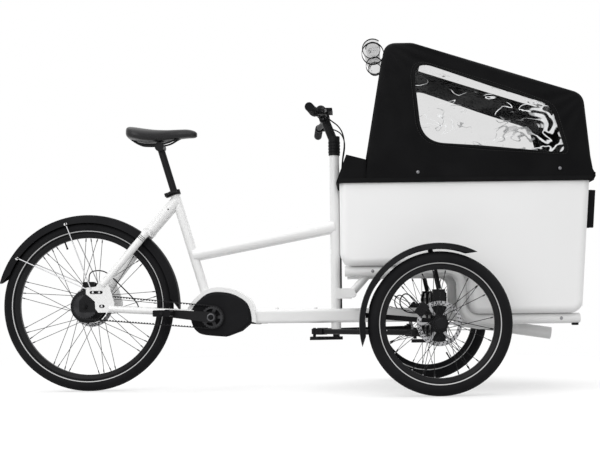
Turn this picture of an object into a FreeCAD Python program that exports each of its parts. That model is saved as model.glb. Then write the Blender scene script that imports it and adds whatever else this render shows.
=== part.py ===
import FreeCAD, Part
import math
import os
from types import SimpleNamespace
from FreeCAD import Placement, Rotation, Vector

# Cargo tricycle in one frame: +X forward, +Y left, +Z up, ground at zero height.
# Lengths are millimetres, angles degrees. "x" sizes are measured forward from the rear axle.
SIZES = {
    # wheels
    "wheelbase": 1332, "half_track": 405, "rear_wheel_radius": 328, "front_wheel_radius": 253,
    "tyre_section_radius": 25, "tyre_wall": 3.5, "bead_half_width": 14, "bead_thickness": 3,
    "rim_lip": 2, "rim_depth": 15, "rim_inner_half_width": 8, "rim_bed_half_width": 6, "rim_bed_drop": 4,
    "fit_gap": 0.3, "running_gap": 0.05, "overrun": 4, "spoke_end_gap": 0.8, "spoke_radius": 1.1,
    "nipple_radius": 2.1, "nipple_length": 13, "spoke_face_offset": 2.4, "spoke_rim_offset": 2,
    "flange_half_thickness": 1.1,
    # rear hub
    "rear_flange_radius": 64, "rear_flange_offset": 28, "rear_shell_radius": 58, "rear_cap_radius": 34,
    "rear_hub_half_width": 38, "rear_axle_radius": 6, "rear_axle_half_length": 84, "axle_nut_radius": 10,
    "axle_nut_length": 9, "disc_radius": 80, "disc_hole_radius": 22, "disc_band": 15, "disc_inner_band": 9,
    "disc_thickness": 2, "disc_carrier_radius": 31, "disc_carrier_width": 4, "disc_arm_half_width": 5,
    "rear_disc_offset": 43,
    # front hub and knuckle
    "front_flange_radius": 27, "front_flange_offset": 19, "front_shell_radius": 15,
    "front_hub_inner": 36, "front_hub_outer": 24, "stub_radius": 8.5, "stub_shoulder_radius": 13,
    "hub_cap_radius": 20, "hub_cap_length": 10, "hub_cap_taper": 4,
    "kingpin_offset": 330, "kingpin_radius": 10, "arm_pivot_offset": 290, "arm_pin_radius": 7,
    "upright_low": 198, "upright_high": 362, "upright_outer_depth": 17,
    "upright_inner_depth": 21, "upright_shoulder": 4, "upright_cheek": 8, "cheek_reach": 16, "pin_head": 3,
    "knuckle_plate": 10, "knuckle_plate_gap": 3, "knuckle_half_length": 22, "knuckle_arm_height": 12,
    "knuckle_arm_reach": 15, "steer_arm_length": 85, "steer_arm_half_width": 12, "steer_boss_radius": 13,
    "caliper_length": 46, "caliper_height": 34, "caliper_cheek": 6, "caliper_outer_cheek": 9,
    "caliper_slot": 6, "caliper_ear_half_height": 20, "caliper_angle": 140, "caliper_reach": 80,
    # lean linkage
    "lower_arm_z": 224, "upper_arm_z": 338, "arm_width": 40, "arm_end_radius": 14, "arm_boss_radius": 20,
    "arm_mid_half_height": 15, "arm_boss_half_length": 26, "arm_taper_end": 62, "lean_pin_radius": 8,
    "lean_plate_gap": 1, "lean_plate": 8, "lean_plate_half_width": 44, "lean_plate_low": 200,
    "lean_plate_high": 364, "lean_plate_corner": 14,
    # tie rods
    "rod_stud_offset": 20, "rod_stud_radius": 5, "rod_z": 221, "joint_radius": 10, "joint_height": 20,
    "joint_link": 30, "joint_clear": 1.5, "joint_tongue": 10, "joint_pin_radius": 4, "joint_pin_length": 34,
    "rod_radius": 10, "rod_fork_half_width": 15, "rod_fork_cheek": 6, "rod_fork_height": 24,
    "rod_fork_back": 7, "rod_fork_length": 24, "rod_eye_radius": 14, "rod_eye_half_height": 12,
    "rod_bolt_radius": 6,
    "rod_bolt_gap": 1.6, "rod_bolt_top": 6,
    # main frame
    "crank_x": 484, "crank_z": 281, "seat_foot_x": 452, "seat_foot_z": 372, "seat_tube_lean": 16.5,
    "seat_tube_top_z": 772, "seat_tube_radius": 18, "seat_bore": 13.7, "top_tube_radius": 25,
    "top_tube_rear_z": 521, "top_tube_front_z": 625, "tube_wall": 3, "head_x": 957, "head_radius": 19,
    "head_bore": 16, "head_low": 229, "head_high": 900, "beam_width": 50, "beam_height": 54,
    "beam_corner": 12, "beam_z": 281, "beam_front_past": 106, "step_radius": 23, "step_end_x": 1775,
    "step_end_z": 205, "step_start_z": 256, "step_cap": 12, "boss_radius": 7, "boss_height": 6,
    "boss_hole": 2.5,
    "beam_boss_rear_x": 728, "beam_boss_spacing": 150,
    # motor arch and motor
    "motor_front": 150, "motor_rear": 84, "motor_top": 95, "motor_bottom": 76, "arch_band": 17,
    "arch_half_width": 38, "motor_half_width": 33, "cover_thickness": 12, "cover_edge": 5,
    "motor_inset": 7, "spindle_radius": 11, "spindle_bore": 11.05,
    # drive
    "belt_pitch": 11, "belt_width": 12, "belt_line": 53, "belt_back": 2.6, "tooth_depth": 3.2,
    "tooth_half_width": 2.6, "tooth_tip_half_width": 1.7, "groove_depth": 3.1, "groove_half_width": 3.2,
    "groove_tip_half_width": 2.2, "belt_seat_gap": 0.4, "sprocket_width": 10, "sprocket_rim": 9,
    "sprocket_hub_radius": 20, "sprocket_arm_half_width": 6, "rear_sprocket_hub_radius": 33,
    "crank_length": 170, "crank_angle": 174, "crank_arm_inner": 74, "crank_arm_thickness": 14,
    "crank_boss_radius": 20, "crank_end_radius": 14,
    "pedal_axle_radius": 6, "pedal_axle_length": 100, "pedal_gap": 3, "pedal_length": 92,
    "pedal_half_width": 32, "pedal_half_height": 12, "pedal_rail": 9, "pedal_core_radius": 11,
    "pedal_bar": 8,
    # rear stays
    "mono_top_z": 733, "mono_radius": 23.5, "yoke_angle": 50, "yoke_radius": 15, "yoke_half_length": 58,
    "leg_radius": 14.5, "leg_top_y": 49, "leg_end_x": 70, "leg_end_rise": 80, "stay_radius": 13,
    "stay_front_x": 412, "stay_front_z": 297, "stay_front_y": 42, "stay_rear_x": 94, "stay_rear_drop": 11,
    "dropout_inner": 67, "dropout_plate": 8, "dropout_x": 8, "dropout_drop": 24, "dropout_length": 106,
    "dropout_height": 122, "slot_half_width": 6, "slot_upper_x": 47, "slot_upper_rise": 53,
    "slot_upper_length": 50, "slot_lower_x": 68, "slot_lower_length": 22,
    "carrier_plate": 7, "carrier_gap": 0.4, "carrier_boss_radius": 21, "carrier_bolt_radius": 4.5,
    "carrier_bolt_out": 2, "carrier_reach_x": 80, "carrier_top": 66, "carrier_low": 22,
    "carrier_ear_top": 92,
    # rear fender
    "rear_fender_gap": 26, "rear_fender_half_width": 31, "rear_fender_skirt": 32, "fender_shell": 2.4,
    "fender_crown_half_width": 20, "rear_fender_start": -3, "rear_fender_end": 165,
    "fender_stay_radius": 2.2, "fender_stay_gap": 0.4, "fender_stay_foot_x": 18, "fender_stay_foot_rise": 76,
    "fender_stay_foot_spread": 9,
    # front fender
    "front_fender_gap": 30, "front_fender_half_width": 30, "front_fender_skirt": 21,
    "front_fender_start": 62, "front_fender_end": 196, "carrier_bar_radius": 9,
    "fender_strut_lean": 12, "fender_strut_top": 520, "fender_bar_angle": 173, "fender_bar_z": 262,
    "fender_bar_half_height": 9, "fender_bar_half_thickness": 5,
    # chassis
    "rail_radius": 19, "rail_y": 225, "rail_rear_x": 998, "rail_drop_x": 1424, "rail_front_x": 1852,
    "rail_bend": 58, "rail_floor_gap": 0.4, "cross_x": 1018, "cross_z": 366, "cross_radius": 17,
    "strut_radius": 12, "strut_top_x": 1088, "gusset_plate": 8, "gusset_offset": 14,
    "gusset_height": 40, "front_cross_x": 1505, "front_cross_z": 268, "front_cross_radius": 15,
    "rail_plug_length": 4, "rail_plug_radius": 16,
    # cargo box
    "box_rear_x": 982, "box_front_x": 1860, "box_front_lean": 3.7, "box_half_width": 272, "box_top": 764,
    "box_shelf": 464,
    "box_floor": 284, "box_step_x": 1450, "box_wall": 5, "box_corner": 45, "box_step_radius": 36,
    "box_side_radius": 26, "box_lip": 12, "door_half_width": 215, "door_low": 316, "door_high": 734,
    "door_gap": 3, "door_plate": 5, "door_flange": 16, "door_flange_plate": 3, "hinge_radius": 6,
    "hinge_bore": 3.05, "hinge_pin": 3, "hinge_axis_out": 12, "hinge_axis_side": 14, "hinge_half_length": 17,
    "hinge_leaf": 2.5, "hinge_leaf_width": 18, "hinge_low_z": 400, "hinge_high_z": 660, "hinge_gap": 0.5,
    "latch_y": 186, "latch_z": 668, "latch_half_height": 70, "latch_half_width": 11, "latch_plate": 14,
    "latch_stand": 4, "latch_shaft": 6, "latch_cam": 22, "latch_cam_plate": 4, "latch_round": 5,
    # cushions
    "cushion_height": 46, "cushion_length": 300, "cushion_side_gap": 12, "cushion_gap": 6,
    "back_height": 200, "back_depth": 36, "cushion_round": 14,
    # hood
    "hood_gap": 3, "column_room": 6, "hood_shell": 4, "hood_low": 752, "hood_apron_z": 846,
    "hood_apron_rear": 12, "hood_apron_lean": 38, "hood_apron_rise": 19, "hood_apron_front": 98,
    "hood_rear_lean": 73, "hood_flat_end": 173, "hood_top": 1278, "hood_front_top": 1081,
    "hood_front_lean": 30, "hood_top_inset": 34, "hood_edge": 26, "hood_rear_round": 48, "hood_corner": 56,
    "hood_front_gap": 9, "window_round_rear_top": 34, "window_round_front_top": 74,
    "window_round_front_low": 22,
    "window_round_rear_low": 66, "roof_window_half": 178, "roof_window_start": 64, "roof_window_end": 96,
    "front_window_low": 812, "front_window_high": 1016,
    "window_inset": 2, "window_sheet": 1.2, "bow_radius": 8, "bow_gap": 0.6, "bow_bend": 60,
    "roll_radius": 32, "roll_half_length": 205, "roll_small_radius": 24, "roll_bore": 26,
    "roll_small_bore": 18, "roll_fall_angle": -112,
    # steering
    "steerer_radius": 13, "steerer_low": 188, "steerer_rise": 68, "bearing_length": 28,
    "bearing_flange": 1, "pitman_plate": 12, "pitman_half_width": 15, "pitman_end_half_width": 33,
    "pitman_end_length": 16, "stud_height": 34, "stem_radius": 22, "stem_gap": 1, "stem_rise": 74,
    "stem_arm_radius": 17, "bar_x": 921, "bar_rise": 144, "bar_radius": 11.1, "clamp_radius": 21,
    "clamp_half_width": 22, "bar_mid_y": 72, "bar_bend_x": 893, "bar_bend_y": 166, "bar_bend_rise": 137,
    "bar_end_x": 880, "bar_end_y": 328, "bar_end_rise": 130, "bar_bend": 50, "grip_radius": 16,
    "grip_length": 90, "grip_end": 3, "twist_length": 36, "twist_gap": 1.5, "twist_radius": 17,
    "mount_width": 18, "mount_radius": 15.5, "mount_gap": 4, "mount_reach": 30, "mount_half_height": 9,
    "mount_depth": 38, "lever_radius": 4.5, "lever_pivot_radius": 5, "lever_forward": 34,
    "lever_first": 36, "lever_length": 118, "lever_out": 12, "lever_fall": 8, "lever_gap": 0.6,
    "lever_boss_radius": 8, "lever_boss_half_height": 5, "bell_radius": 20,
    "bell_at": 105, "bell_clamp_width": 8, "display_length": 62, "display_width": 84, "display_height": 14,

    # cables
    "cable_radius": 2.5, "cable_side": 4, "cable_first": 20, "cable_forward": 1008, "cable_spread": 40,
    "cable_crest_rise": 85, "cable_join_drop": 70, "cable_bend": 32,
    # seat
    "post_radius": 13.6, "post_length": 350, "post_low": 175, "collar_radius": 23, "collar_height": 18,
    "collar_ear_length": 14, "collar_ear_half_width": 9, "qr_radius": 4, "qr_length": 46, "qr_gap": 0.6,
    "qr_boss_radius": 7, "qr_boss_half_height": 6, "saddle_rear_x": 156, "saddle_length": 270,
    "saddle_half_width": 84, "saddle_top_z": 1019, "saddle_depth": 62, "saddle_dip": 14, "saddle_rise": 10,
    "saddle_crown": 12, "saddle_base_inset": 6, "saddle_rail_radius": 3.5,
    "saddle_rail_y": 22, "saddle_rail_half_length": 60, "post_head_radius": 17,
    "post_head_half_length": 27,
}
# Outlines as shares of the sizes that they follow.
motor_outline_shares = [(0.35, -1.0), (-0.32, -0.9), (-0.69, -0.74), (-0.92, -0.39), (-1.0, 0.2),
                        (-0.6, 0.71), (-0.03, 1.0), (0.46, 0.95), (0.84, 0.62), (0.97, 0.2),
                        (1.0, -0.26), (0.71, -0.74)]
motor_steps = 4
arch_first = 4 * motor_steps
arch_last = 10 * motor_steps + 1
dropout_shares = [(0.0, 0.58), (0.0, 0.78), (0.36, 0.81), (0.5, 1.0), (0.75, 0.95), (0.86, 0.75),
                  (1.0, 0.32), (1.0, 0.0), (0.44, 0.0), (0.33, 0.12), (0.32, 0.34), (0.16, 0.47)]
bead_angle = 142
leg_top_share = 0.82
leg_foot_share = 0.92
saddle_wave_share = 0.9
rear_spokes = 36
front_spokes = 28
rear_lacing = 28
front_lacing = 45
front_teeth = 25
rear_teeth = 28
belt_teeth = 115
disc_arms = 6
sprocket_arms = 5
rear_caliper_angle = 98
fender_stay_angles = [104, 145]
fender_point_angle = 9
window_shares = [(0.3386, 0.282), (0.3044, 0.8405), (0.8828, 0.5317), (0.9407, 0.19)]
saddle_width_shares = [(0.0, 0.62), (0.06, 0.88), (0.16, 1.0), (0.30, 0.93), (0.46, 0.58), (0.62, 0.32),
                       (0.80, 0.25), (0.94, 0.22), (1.0, 0.12)]

document = FreeCAD.newDocument("CargoTricycle")
sheet = document.addObject("Spreadsheet::Sheet", "Sizes")
for row, (alias, value) in enumerate(SIZES.items(), 1):
    sheet.set("A%d" % row, alias)
    sheet.set("B%d" % row, str(value))
    sheet.setAlias("B%d" % row, alias)
document.recompute()
d = SimpleNamespace(**{alias: float(sheet.get(alias)) for alias in SIZES})
d.rear_fender_radius = d.rear_wheel_radius + d.rear_fender_gap
d.front_fender_radius = d.front_wheel_radius + d.front_fender_gap
d.beam_front_x = d.wheelbase + d.beam_front_past
d.steerer_high = d.head_high + d.steerer_rise
d.stem_high = d.head_high + d.stem_rise
d.bar_z = d.head_high + d.bar_rise
d.bar_bend_z = d.head_high + d.bar_bend_rise
d.bar_end_z = d.head_high + d.bar_end_rise
nodes = {}
up = Vector(0, 0, 1)
turn_to_side = Rotation(Vector(1, 0, 0), -90)


def cell(alias):
    return "Sizes." + alias


def polar(radius, angle):
    return radius * math.cos(math.radians(angle)), radius * math.sin(math.radians(angle))


rear_reach = polar(d.rear_fender_radius, d.rear_fender_end)[0]
door_lean = math.radians(d.box_front_lean)
latch_out = d.fit_gap + d.door_flange_plate + d.latch_stand + d.latch_plate
latch_up = d.latch_z + d.latch_half_height - d.box_floor
front_reach = d.box_front_x + latch_out * math.cos(door_lean) + latch_up * math.sin(door_lean)
axle_x = -(front_reach + rear_reach) / 2


def at(x, y, z):
    return Vector(axle_x + x, y, z)


def keep(label, thing):
    thing.Label = label
    nodes[label] = thing
    return thing


def feature(name, shape, placement=None):
    thing = document.addObject("Part::Feature", name)
    thing.Shape = shape
    if placement is not None:
        thing.Placement = placement
    return thing


def rod(name, start, end, radius):
    thing = document.addObject("Part::Cylinder", name)
    thing.setExpression("Radius", radius if "." in radius else cell(radius))
    thing.Height = (end - start).Length
    thing.Placement = Placement(start, Rotation(up, end - start))
    return thing


def cut(name, base, tool):
    thing = document.addObject("Part::Cut", name)
    thing.Base = base
    thing.Tool = tool
    return thing


def fuse(name, pieces):
    thing = document.addObject("Part::MultiFuse", name)
    thing.Shapes = pieces
    return thing


def group(name, pieces):
    thing = document.addObject("Part::Compound", name)
    thing.Links = pieces
    return thing


def hollow(name, start, end, radius, bore):
    run = (end - start).normalize() * d.overrun
    return cut(
        name, rod(name + "_outer", start, end, radius), rod(name + "_bore", start - run, end + run, bore))


def edges_of(outline):
    # an outline is a list of points; a point of four numbers is an arc's middle and its end
    edges = []
    last = Vector(outline[0][0], outline[0][1], 0)
    first = last
    for item in outline[1:]:
        end = Vector(item[-2], item[-1], 0)
        if len(item) == 4:
            edges.append(Part.Arc(last, Vector(item[0], item[1], 0), end))
        elif (end - last).Length > d.running_gap / 10:
            edges.append(Part.LineSegment(last, end))
        last = end
    if (last - first).Length > d.running_gap / 10:
        edges.append(Part.LineSegment(last, first))
    return edges


def sketched(body, name, outline, holes, role):
    sketch = body.newObject("Sketcher::SketchObject", name)
    plane = [item for item in body.Origin.OriginFeatures if item.Role == role][0]
    sketch.AttachmentSupport = (plane, [""])
    sketch.MapMode = "FlatFace"
    sketch.addGeometry(edges_of(outline), False)
    for x, y, radius in holes:
        sketch.addGeometry(Part.Circle(Vector(x, y, 0), up, radius), False)
    return sketch


def turned(name, outline, placement, angle=360):
    # outline in (radius, along); the body's own Z is the axis
    body = document.addObject("PartDesign::Body", name)
    sketch = sketched(body, name + "_profile", outline, [], "XZ_Plane")
    turn = body.newObject("PartDesign::Revolution", name + "_turn")
    turn.Profile = sketch
    turn.ReferenceAxis = (sketch, ["V_Axis"])
    turn.Angle = angle
    sketch.Visibility = False
    body.Tip = turn
    body.Placement = placement
    return body


def padded(name, outline, holes, thickness, placement):
    # outline in the body's own X and Y, raised along its Z by a cell of the sheet
    body = document.addObject("PartDesign::Body", name)
    sketch = sketched(body, name + "_profile", outline, holes, "XY_Plane")
    pad = body.newObject("PartDesign::Pad", name + "_pad")
    pad.Profile = sketch
    pad.setExpression("Length", thickness if "." in thickness else cell(thickness))
    body.Tip = pad
    body.Placement = placement
    return body


# A plate drawn in side view (x forward, z up) that thickens towards -Y, from a given y.
def side_plate(name, outline, holes, thickness, y):
    return padded(name, outline, holes, thickness, Placement(at(0, y, 0), Rotation(Vector(1, 0, 0), 90)))


# A plate drawn in front view (y left, z up) that thickens towards +X, from a given x.
def front_plate(name, outline, holes, thickness, x):
    turn = Rotation(Vector(0, 1, 0), up, Vector(1, 0, 0), "ZXY")
    return padded(name, outline, holes, thickness, Placement(at(x, 0, 0), turn))


def bent_path(points, bend):
    edges = []
    last = points[0]
    for before, corner, after in zip(points, points[1:], points[2:]):
        into = (corner - before).normalize()
        out = (after - corner).normalize()
        half = math.acos(max(-1, min(1, into.dot(out)))) / 2
        reach = bend * math.tan(half)
        start = corner - into * reach
        end = corner + out * reach
        middle = (out - into).normalize()
        centre = corner + middle * (bend / math.cos(half))
        if (start - last).Length > d.running_gap:
            edges.append(Part.LineSegment(last, start).toShape())
        edges.append(Part.Arc(start, centre - middle * bend, end).toShape())
        last = end
    edges.append(Part.LineSegment(last, points[-1]).toShape())
    return Part.Wire(edges)


def tube_along(points, bend, radius):
    path = bent_path(points, bend)
    ring = Part.Wire(Part.Circle(points[0], points[1] - points[0], radius).toShape())
    return path.makePipeShell([ring], True, False)


def side_prism(outline, y_from, y_to, holes=()):
    # a solid drawn in side view between two y positions
    wires = [Part.Wire(Part.__sortEdges__([item.toShape() for item in edges_of(outline)]))]
    for x, z, radius in holes:
        wires.append(Part.Wire(Part.Circle(Vector(x, z, 0), up, radius).toShape()))
    face = Part.Face(wires, "Part::FaceMakerBullseye")
    shape = face.extrude(Vector(0, 0, y_from - y_to))
    shape.Placement = Placement(at(0, y_from, 0), Rotation(Vector(1, 0, 0), 90))
    return shape


def rounded(outline, radius):
    # corners of a plain outline rounded by tangent arcs
    result = []
    count = len(outline)
    for index in range(count):
        corner = Vector(outline[index][0], outline[index][1], 0)
        before = Vector(outline[index - 1][0], outline[index - 1][1], 0)
        after = Vector(outline[(index + 1) % count][0], outline[(index + 1) % count][1], 0)
        into = (corner - before).normalize()
        out = (after - corner).normalize()
        half = math.acos(max(-1, min(1, into.dot(out)))) / 2
        size = radius[index] if isinstance(radius, list) else radius
        reach = size * math.tan(half)
        if size == 0 or reach == 0:
            result.append((corner.x, corner.y))
            continue
        start = corner - into * reach
        end = corner + out * reach
        middle = (out - into).normalize()
        via = corner + middle * (size / math.cos(half) - size)
        result.append((start.x, start.y))
        result.append((via.x, via.y, end.x, end.y))
    return result


# Wheels.
def tyre_and_rim(tag, wheel_radius, placement):
    section = d.tyre_section_radius
    core = wheel_radius - section
    top = core - section * leg_top_share
    foot = core - section * leg_foot_share
    r_out, y_out = polar(section, bead_angle)
    r_in, y_in = polar(section - d.tyre_wall, bead_angle)
    bead = d.bead_half_width
    inside = bead - d.bead_thickness
    tyre = [(foot, -bead), (top, -bead), (core + r_out, -y_out), (wheel_radius, 0, core + r_out, y_out),
            (top, bead), (foot, bead), (foot, inside), (core + r_in, y_in),
            (wheel_radius - d.tyre_wall, 0, core + r_in, -y_in), (foot, -inside)]
    keep(tag + "_tyre", turned(tag + "_tyre", tyre, placement))
    seat = foot - d.fit_gap
    lip = top - d.fit_gap
    lip_in = bead + d.fit_gap
    lip_out = lip_in + d.rim_lip
    inner = seat - d.rim_depth
    bed = d.rim_bed_half_width
    drop = seat - d.rim_bed_drop
    half = [(inner, d.rim_inner_half_width), (seat, lip_out), (lip, lip_out), (lip, lip_in), (seat, lip_in),
            (seat, bed + d.rim_bed_drop), (drop, bed)]
    rim = half + [(r, -y) for r, y in reversed(half)]
    keep(tag + "_rim", turned(tag + "_rim", rim, placement))
    return inner


def spokes(tag, count, lacing, flange_radius, flange_offset, rim_inner, placement):
    per_set = count // 4
    step = 360 / per_set
    first = flange_radius + d.spoke_end_gap
    last = rim_inner - d.spoke_end_gap
    pieces = []
    for side in (1, -1):
        for way in (1, -1):
            for index in range(per_set):
                turn = step * index + (step / 2 if way < 0 else 0) + (step / 4 if side < 0 else 0)
                x0, y0 = polar(first, turn)
                x1, y1 = polar(last, turn + way * lacing)
                start = Vector(x0, y0, side * (flange_offset + way * d.spoke_face_offset))
                end = Vector(x1, y1, side * d.spoke_rim_offset)
                length = (end - start).Length
                neck = length - d.nipple_length
                points = [Vector(0, 0, 0), Vector(d.spoke_radius, 0, 0), Vector(d.spoke_radius, 0, neck),
                          Vector(d.nipple_radius, 0, neck), Vector(d.nipple_radius, 0, length),
                          Vector(0, 0, length), Vector(0, 0, 0)]
                spoke = Part.Face(Part.makePolygon(points)).revolve(Vector(0, 0, 0), up, 360)
                spoke.Placement = Placement(start, Rotation(up, end - start))
                pieces.append(spoke)
    keep(tag + "_spokes", feature(tag + "_spokes", Part.makeCompound(pieces), placement))


def brake_disc(name, along, placement):
    ring = d.disc_radius - d.disc_band
    inner = d.disc_hole_radius + d.disc_inner_band
    plate = Part.Face([Part.Wire(Part.Circle(Vector(0, 0, along), up, r).toShape())
                       for r in (d.disc_radius, d.disc_hole_radius)], "Part::FaceMakerBullseye")
    step = 360 / disc_arms
    for index in range(disc_arms):
        outer_half = math.degrees(d.disc_arm_half_width / ring)
        inner_half = math.degrees(d.disc_arm_half_width / inner)
        a, b = step * index, step * (index + 1)
        corners = [polar(inner, a + inner_half), polar(ring, a + outer_half),
                   polar(ring, (a + b) / 2) + polar(ring, b - outer_half), polar(inner, b - inner_half),
                   polar(inner, (a + b) / 2) + polar(inner, a + inner_half)]
        wire = Part.Wire([item.toShape() for item in edges_of(corners)])
        wire.translate(Vector(0, 0, along))
        plate = plate.cut(Part.Face(wire))
    return feature(name, plate.extrude(Vector(0, 0, d.disc_thickness)), placement)


rear_wheel = Placement(at(0, 0, d.rear_wheel_radius), turn_to_side)
rim_inner = tyre_and_rim("rear", d.rear_wheel_radius, rear_wheel)
spokes("rear", rear_spokes, rear_lacing, d.rear_flange_radius, d.rear_flange_offset, rim_inner, rear_wheel)
flange_in = d.rear_flange_offset - d.flange_half_thickness
flange_out = d.rear_flange_offset + d.flange_half_thickness
bore = d.rear_axle_radius + d.running_gap
half_hub = [(bore, d.rear_hub_half_width), (d.rear_cap_radius, d.rear_hub_half_width),
            (d.rear_shell_radius, flange_out), (d.rear_flange_radius, flange_out),
            (d.rear_flange_radius, flange_in), (d.rear_shell_radius, flange_in)]
hub = turned("rear_hub_shell", half_hub + [(r, -y) for r, y in reversed(half_hub)], rear_wheel)
carrier_low = d.rear_hub_half_width + d.fit_gap
carrier = [
    (bore, carrier_low), (d.disc_carrier_radius, carrier_low), (d.disc_carrier_radius, d.rear_disc_offset),
    (d.disc_hole_radius - d.fit_gap, d.rear_disc_offset),
    (d.disc_hole_radius - d.fit_gap, d.rear_disc_offset + d.disc_thickness),
    (bore, d.rear_disc_offset + d.disc_thickness)]
carrier = turned("rear_disc_carrier", carrier, rear_wheel)
disc = brake_disc("rear_disc", d.rear_disc_offset, rear_wheel)
keep("rear_hub", group("rear_hub", [hub, carrier, disc]))

side_names = {-1: "right", 1: "left"}
for side, tag in side_names.items():
    # the wheel's own axis points outward
    wheel = Placement(at(d.wheelbase, side * d.half_track, d.front_wheel_radius),
                      Rotation(Vector(1, 0, 0), -90 * side))
    rim_inner = tyre_and_rim(tag + "_front", d.front_wheel_radius, wheel)
    spokes(tag + "_front", front_spokes, front_lacing, d.front_flange_radius, d.front_flange_offset,
           rim_inner, wheel)
    low = d.front_flange_offset - d.flange_half_thickness
    high = d.front_flange_offset + d.flange_half_thickness
    bore = d.stub_radius + d.running_gap
    shell = d.front_shell_radius
    disc_face = -d.front_hub_inner + d.disc_carrier_width
    profile = [(bore, -d.front_hub_inner), (d.disc_hole_radius - d.fit_gap, -d.front_hub_inner),
               (d.disc_hole_radius - d.fit_gap, disc_face - d.disc_carrier_width + d.disc_thickness),
               (d.disc_carrier_radius, disc_face - d.disc_carrier_width + d.disc_thickness),
               (d.disc_carrier_radius, disc_face + d.disc_thickness), (shell, disc_face + d.disc_thickness),
               (shell, -high), (d.front_flange_radius, -high), (d.front_flange_radius, -low), (shell, -low),
               (shell, low), (d.front_flange_radius, low), (d.front_flange_radius, high), (shell, high),
               (shell, d.front_hub_outer), (bore, d.front_hub_outer)]
    hub = turned(tag + "_hub_shell", profile, wheel)
    disc = brake_disc(tag + "_disc", -d.front_hub_inner, wheel)
    keep(tag + "_front_hub", group(tag + "_front_hub", [hub, disc]))


# Fenders: a turned shell drawn at its start angle and turned backwards over the wheel.
def fender(name, radius, half_width, skirt, start, end, centre):
    shell = d.fender_shell
    crown = d.fender_crown_half_width
    shoulder = radius - shell
    foot = radius - skirt
    outer = [(foot, -half_width), (shoulder, -crown), (radius, 0, shoulder, crown), (foot, half_width)]
    inner = [(foot, half_width - shell), (shoulder - shell, crown - shell),
             (radius - shell, 0, shoulder - shell, shell - crown), (foot, shell - half_width)]
    place = Placement(centre, Rotation(Vector(0, 1, 0), -end).multiply(turn_to_side))
    blade = turned(name + "_band", outer + inner, place, end - start)
    # both ends are cut slanting, so that the skirt stops short of the crown
    ends = []
    for angle, way in ((start, -1), (end, 1)):
        points = [
            polar(foot - d.overrun, angle - way * fender_point_angle), polar(radius, angle),
            polar(radius + d.overrun, angle), polar(radius + d.overrun, angle + way * fender_point_angle),
            polar(foot - d.overrun, angle + way * fender_point_angle)]
        wedge = side_prism([(x - axle_x + centre.x, z + centre.z) for x, z in points],
                           half_width + d.overrun,
                           -half_width - d.overrun)
        wedge.translate(Vector(0, centre.y, 0))
        ends.append(wedge)
    return cut(name, blade, feature(name + "_ends", Part.makeCompound(ends)))


rear_centre = at(0, 0, d.rear_wheel_radius)
blade = fender("rear_fender_blade", d.rear_fender_radius, d.rear_fender_half_width, d.rear_fender_skirt,
               d.rear_fender_start, d.rear_fender_end, rear_centre)
fender_pieces = [blade]
stay_y = d.rear_fender_half_width + d.fender_stay_gap + d.fender_stay_radius
for side in side_names:
    for order, angle in enumerate(fender_stay_angles):
        x, z = polar(d.rear_fender_radius - d.rear_fender_skirt / 2, angle)
        spread = d.fender_stay_foot_spread * (1 - 2 * order)
        foot_y = d.dropout_inner + d.dropout_plate + d.fender_stay_gap + d.fender_stay_radius
        foot = at(d.fender_stay_foot_x + spread, side * foot_y,
                  d.rear_wheel_radius + d.fender_stay_foot_rise - d.fender_stay_foot_spread)
        tip = at(x, side * stay_y, d.rear_wheel_radius + z)
        fender_pieces.append(rod("fender_stay_%s_%d" % (side_names[side], order), foot, tip,
                                 "fender_stay_radius"))
keep("rear_fender", group("rear_fender", fender_pieces))

# Lean arms: one piece across the vehicle, drawn in front view, pivoting on pins along X.
arm_x = d.wheelbase - d.arm_width / 2
for name, height in (("lower_lean_arm", d.lower_arm_z), ("upper_lean_arm", d.upper_arm_z)):
    reach = d.arm_pivot_offset
    tip = d.arm_end_radius
    mid = d.arm_mid_half_height
    boss = d.arm_boss_radius
    half = d.arm_boss_half_length
    taper = d.arm_taper_end
    outline = [(-reach, height - tip), (-taper, height - mid), (-half, height - boss), (half, height - boss),
               (taper, height - mid), (reach, height - tip), (reach + tip, height, reach, height + tip),
               (taper, height + mid), (half, height + boss), (-half, height + boss), (-taper, height + mid),
               (-reach, height + tip), (-reach - tip, height, -reach, height - tip)]
    holes = [
        (0, height, d.lean_pin_radius + d.running_gap), (reach, height, d.arm_pin_radius + d.running_gap),
        (-reach, height, d.arm_pin_radius + d.running_gap)]
    keep(name, front_plate(name, outline, holes, "arm_width", arm_x))

# Lean bracket: two plates on the beam and two pins.
rear_plate_x = arm_x - d.lean_plate_gap - d.lean_plate
front_plate_x = arm_x + d.arm_width + d.lean_plate_gap
wide = d.lean_plate_half_width
plate_outline = rounded([(-wide, d.lean_plate_low), (wide, d.lean_plate_low), (wide, d.lean_plate_high),
                         (-wide, d.lean_plate_high)], d.lean_plate_corner)
pin_holes = [(0, z, d.lean_pin_radius + d.running_gap) for z in (d.lower_arm_z, d.upper_arm_z)]
window = document.addObject("Part::Box", "beam_window")
window.Length = front_plate_x - rear_plate_x + d.lean_plate + 2 * d.overrun
window.Width = d.beam_width + 2 * d.fit_gap
window.Height = d.beam_height + 2 * d.fit_gap
window.Placement.Base = at(rear_plate_x - d.overrun, -d.beam_width / 2 - d.fit_gap,
                           d.beam_z - d.beam_height / 2 - d.fit_gap)
bracket = []
for name, x in (("lean_plate_rear", rear_plate_x), ("lean_plate_front", front_plate_x)):
    bracket.append(cut(name, front_plate(name + "_blank", plate_outline, pin_holes, "lean_plate", x),
                       window))
for name, z in (("lean_pin_low", d.lower_arm_z), ("lean_pin_high", d.upper_arm_z)):
    bracket.append(rod(name, at(rear_plate_x - d.pin_head, 0, z),
                       at(front_plate_x + d.lean_plate + d.pin_head, 0, z), "lean_pin_radius"))
keep("lean_bracket", group("lean_bracket", bracket))

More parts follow.
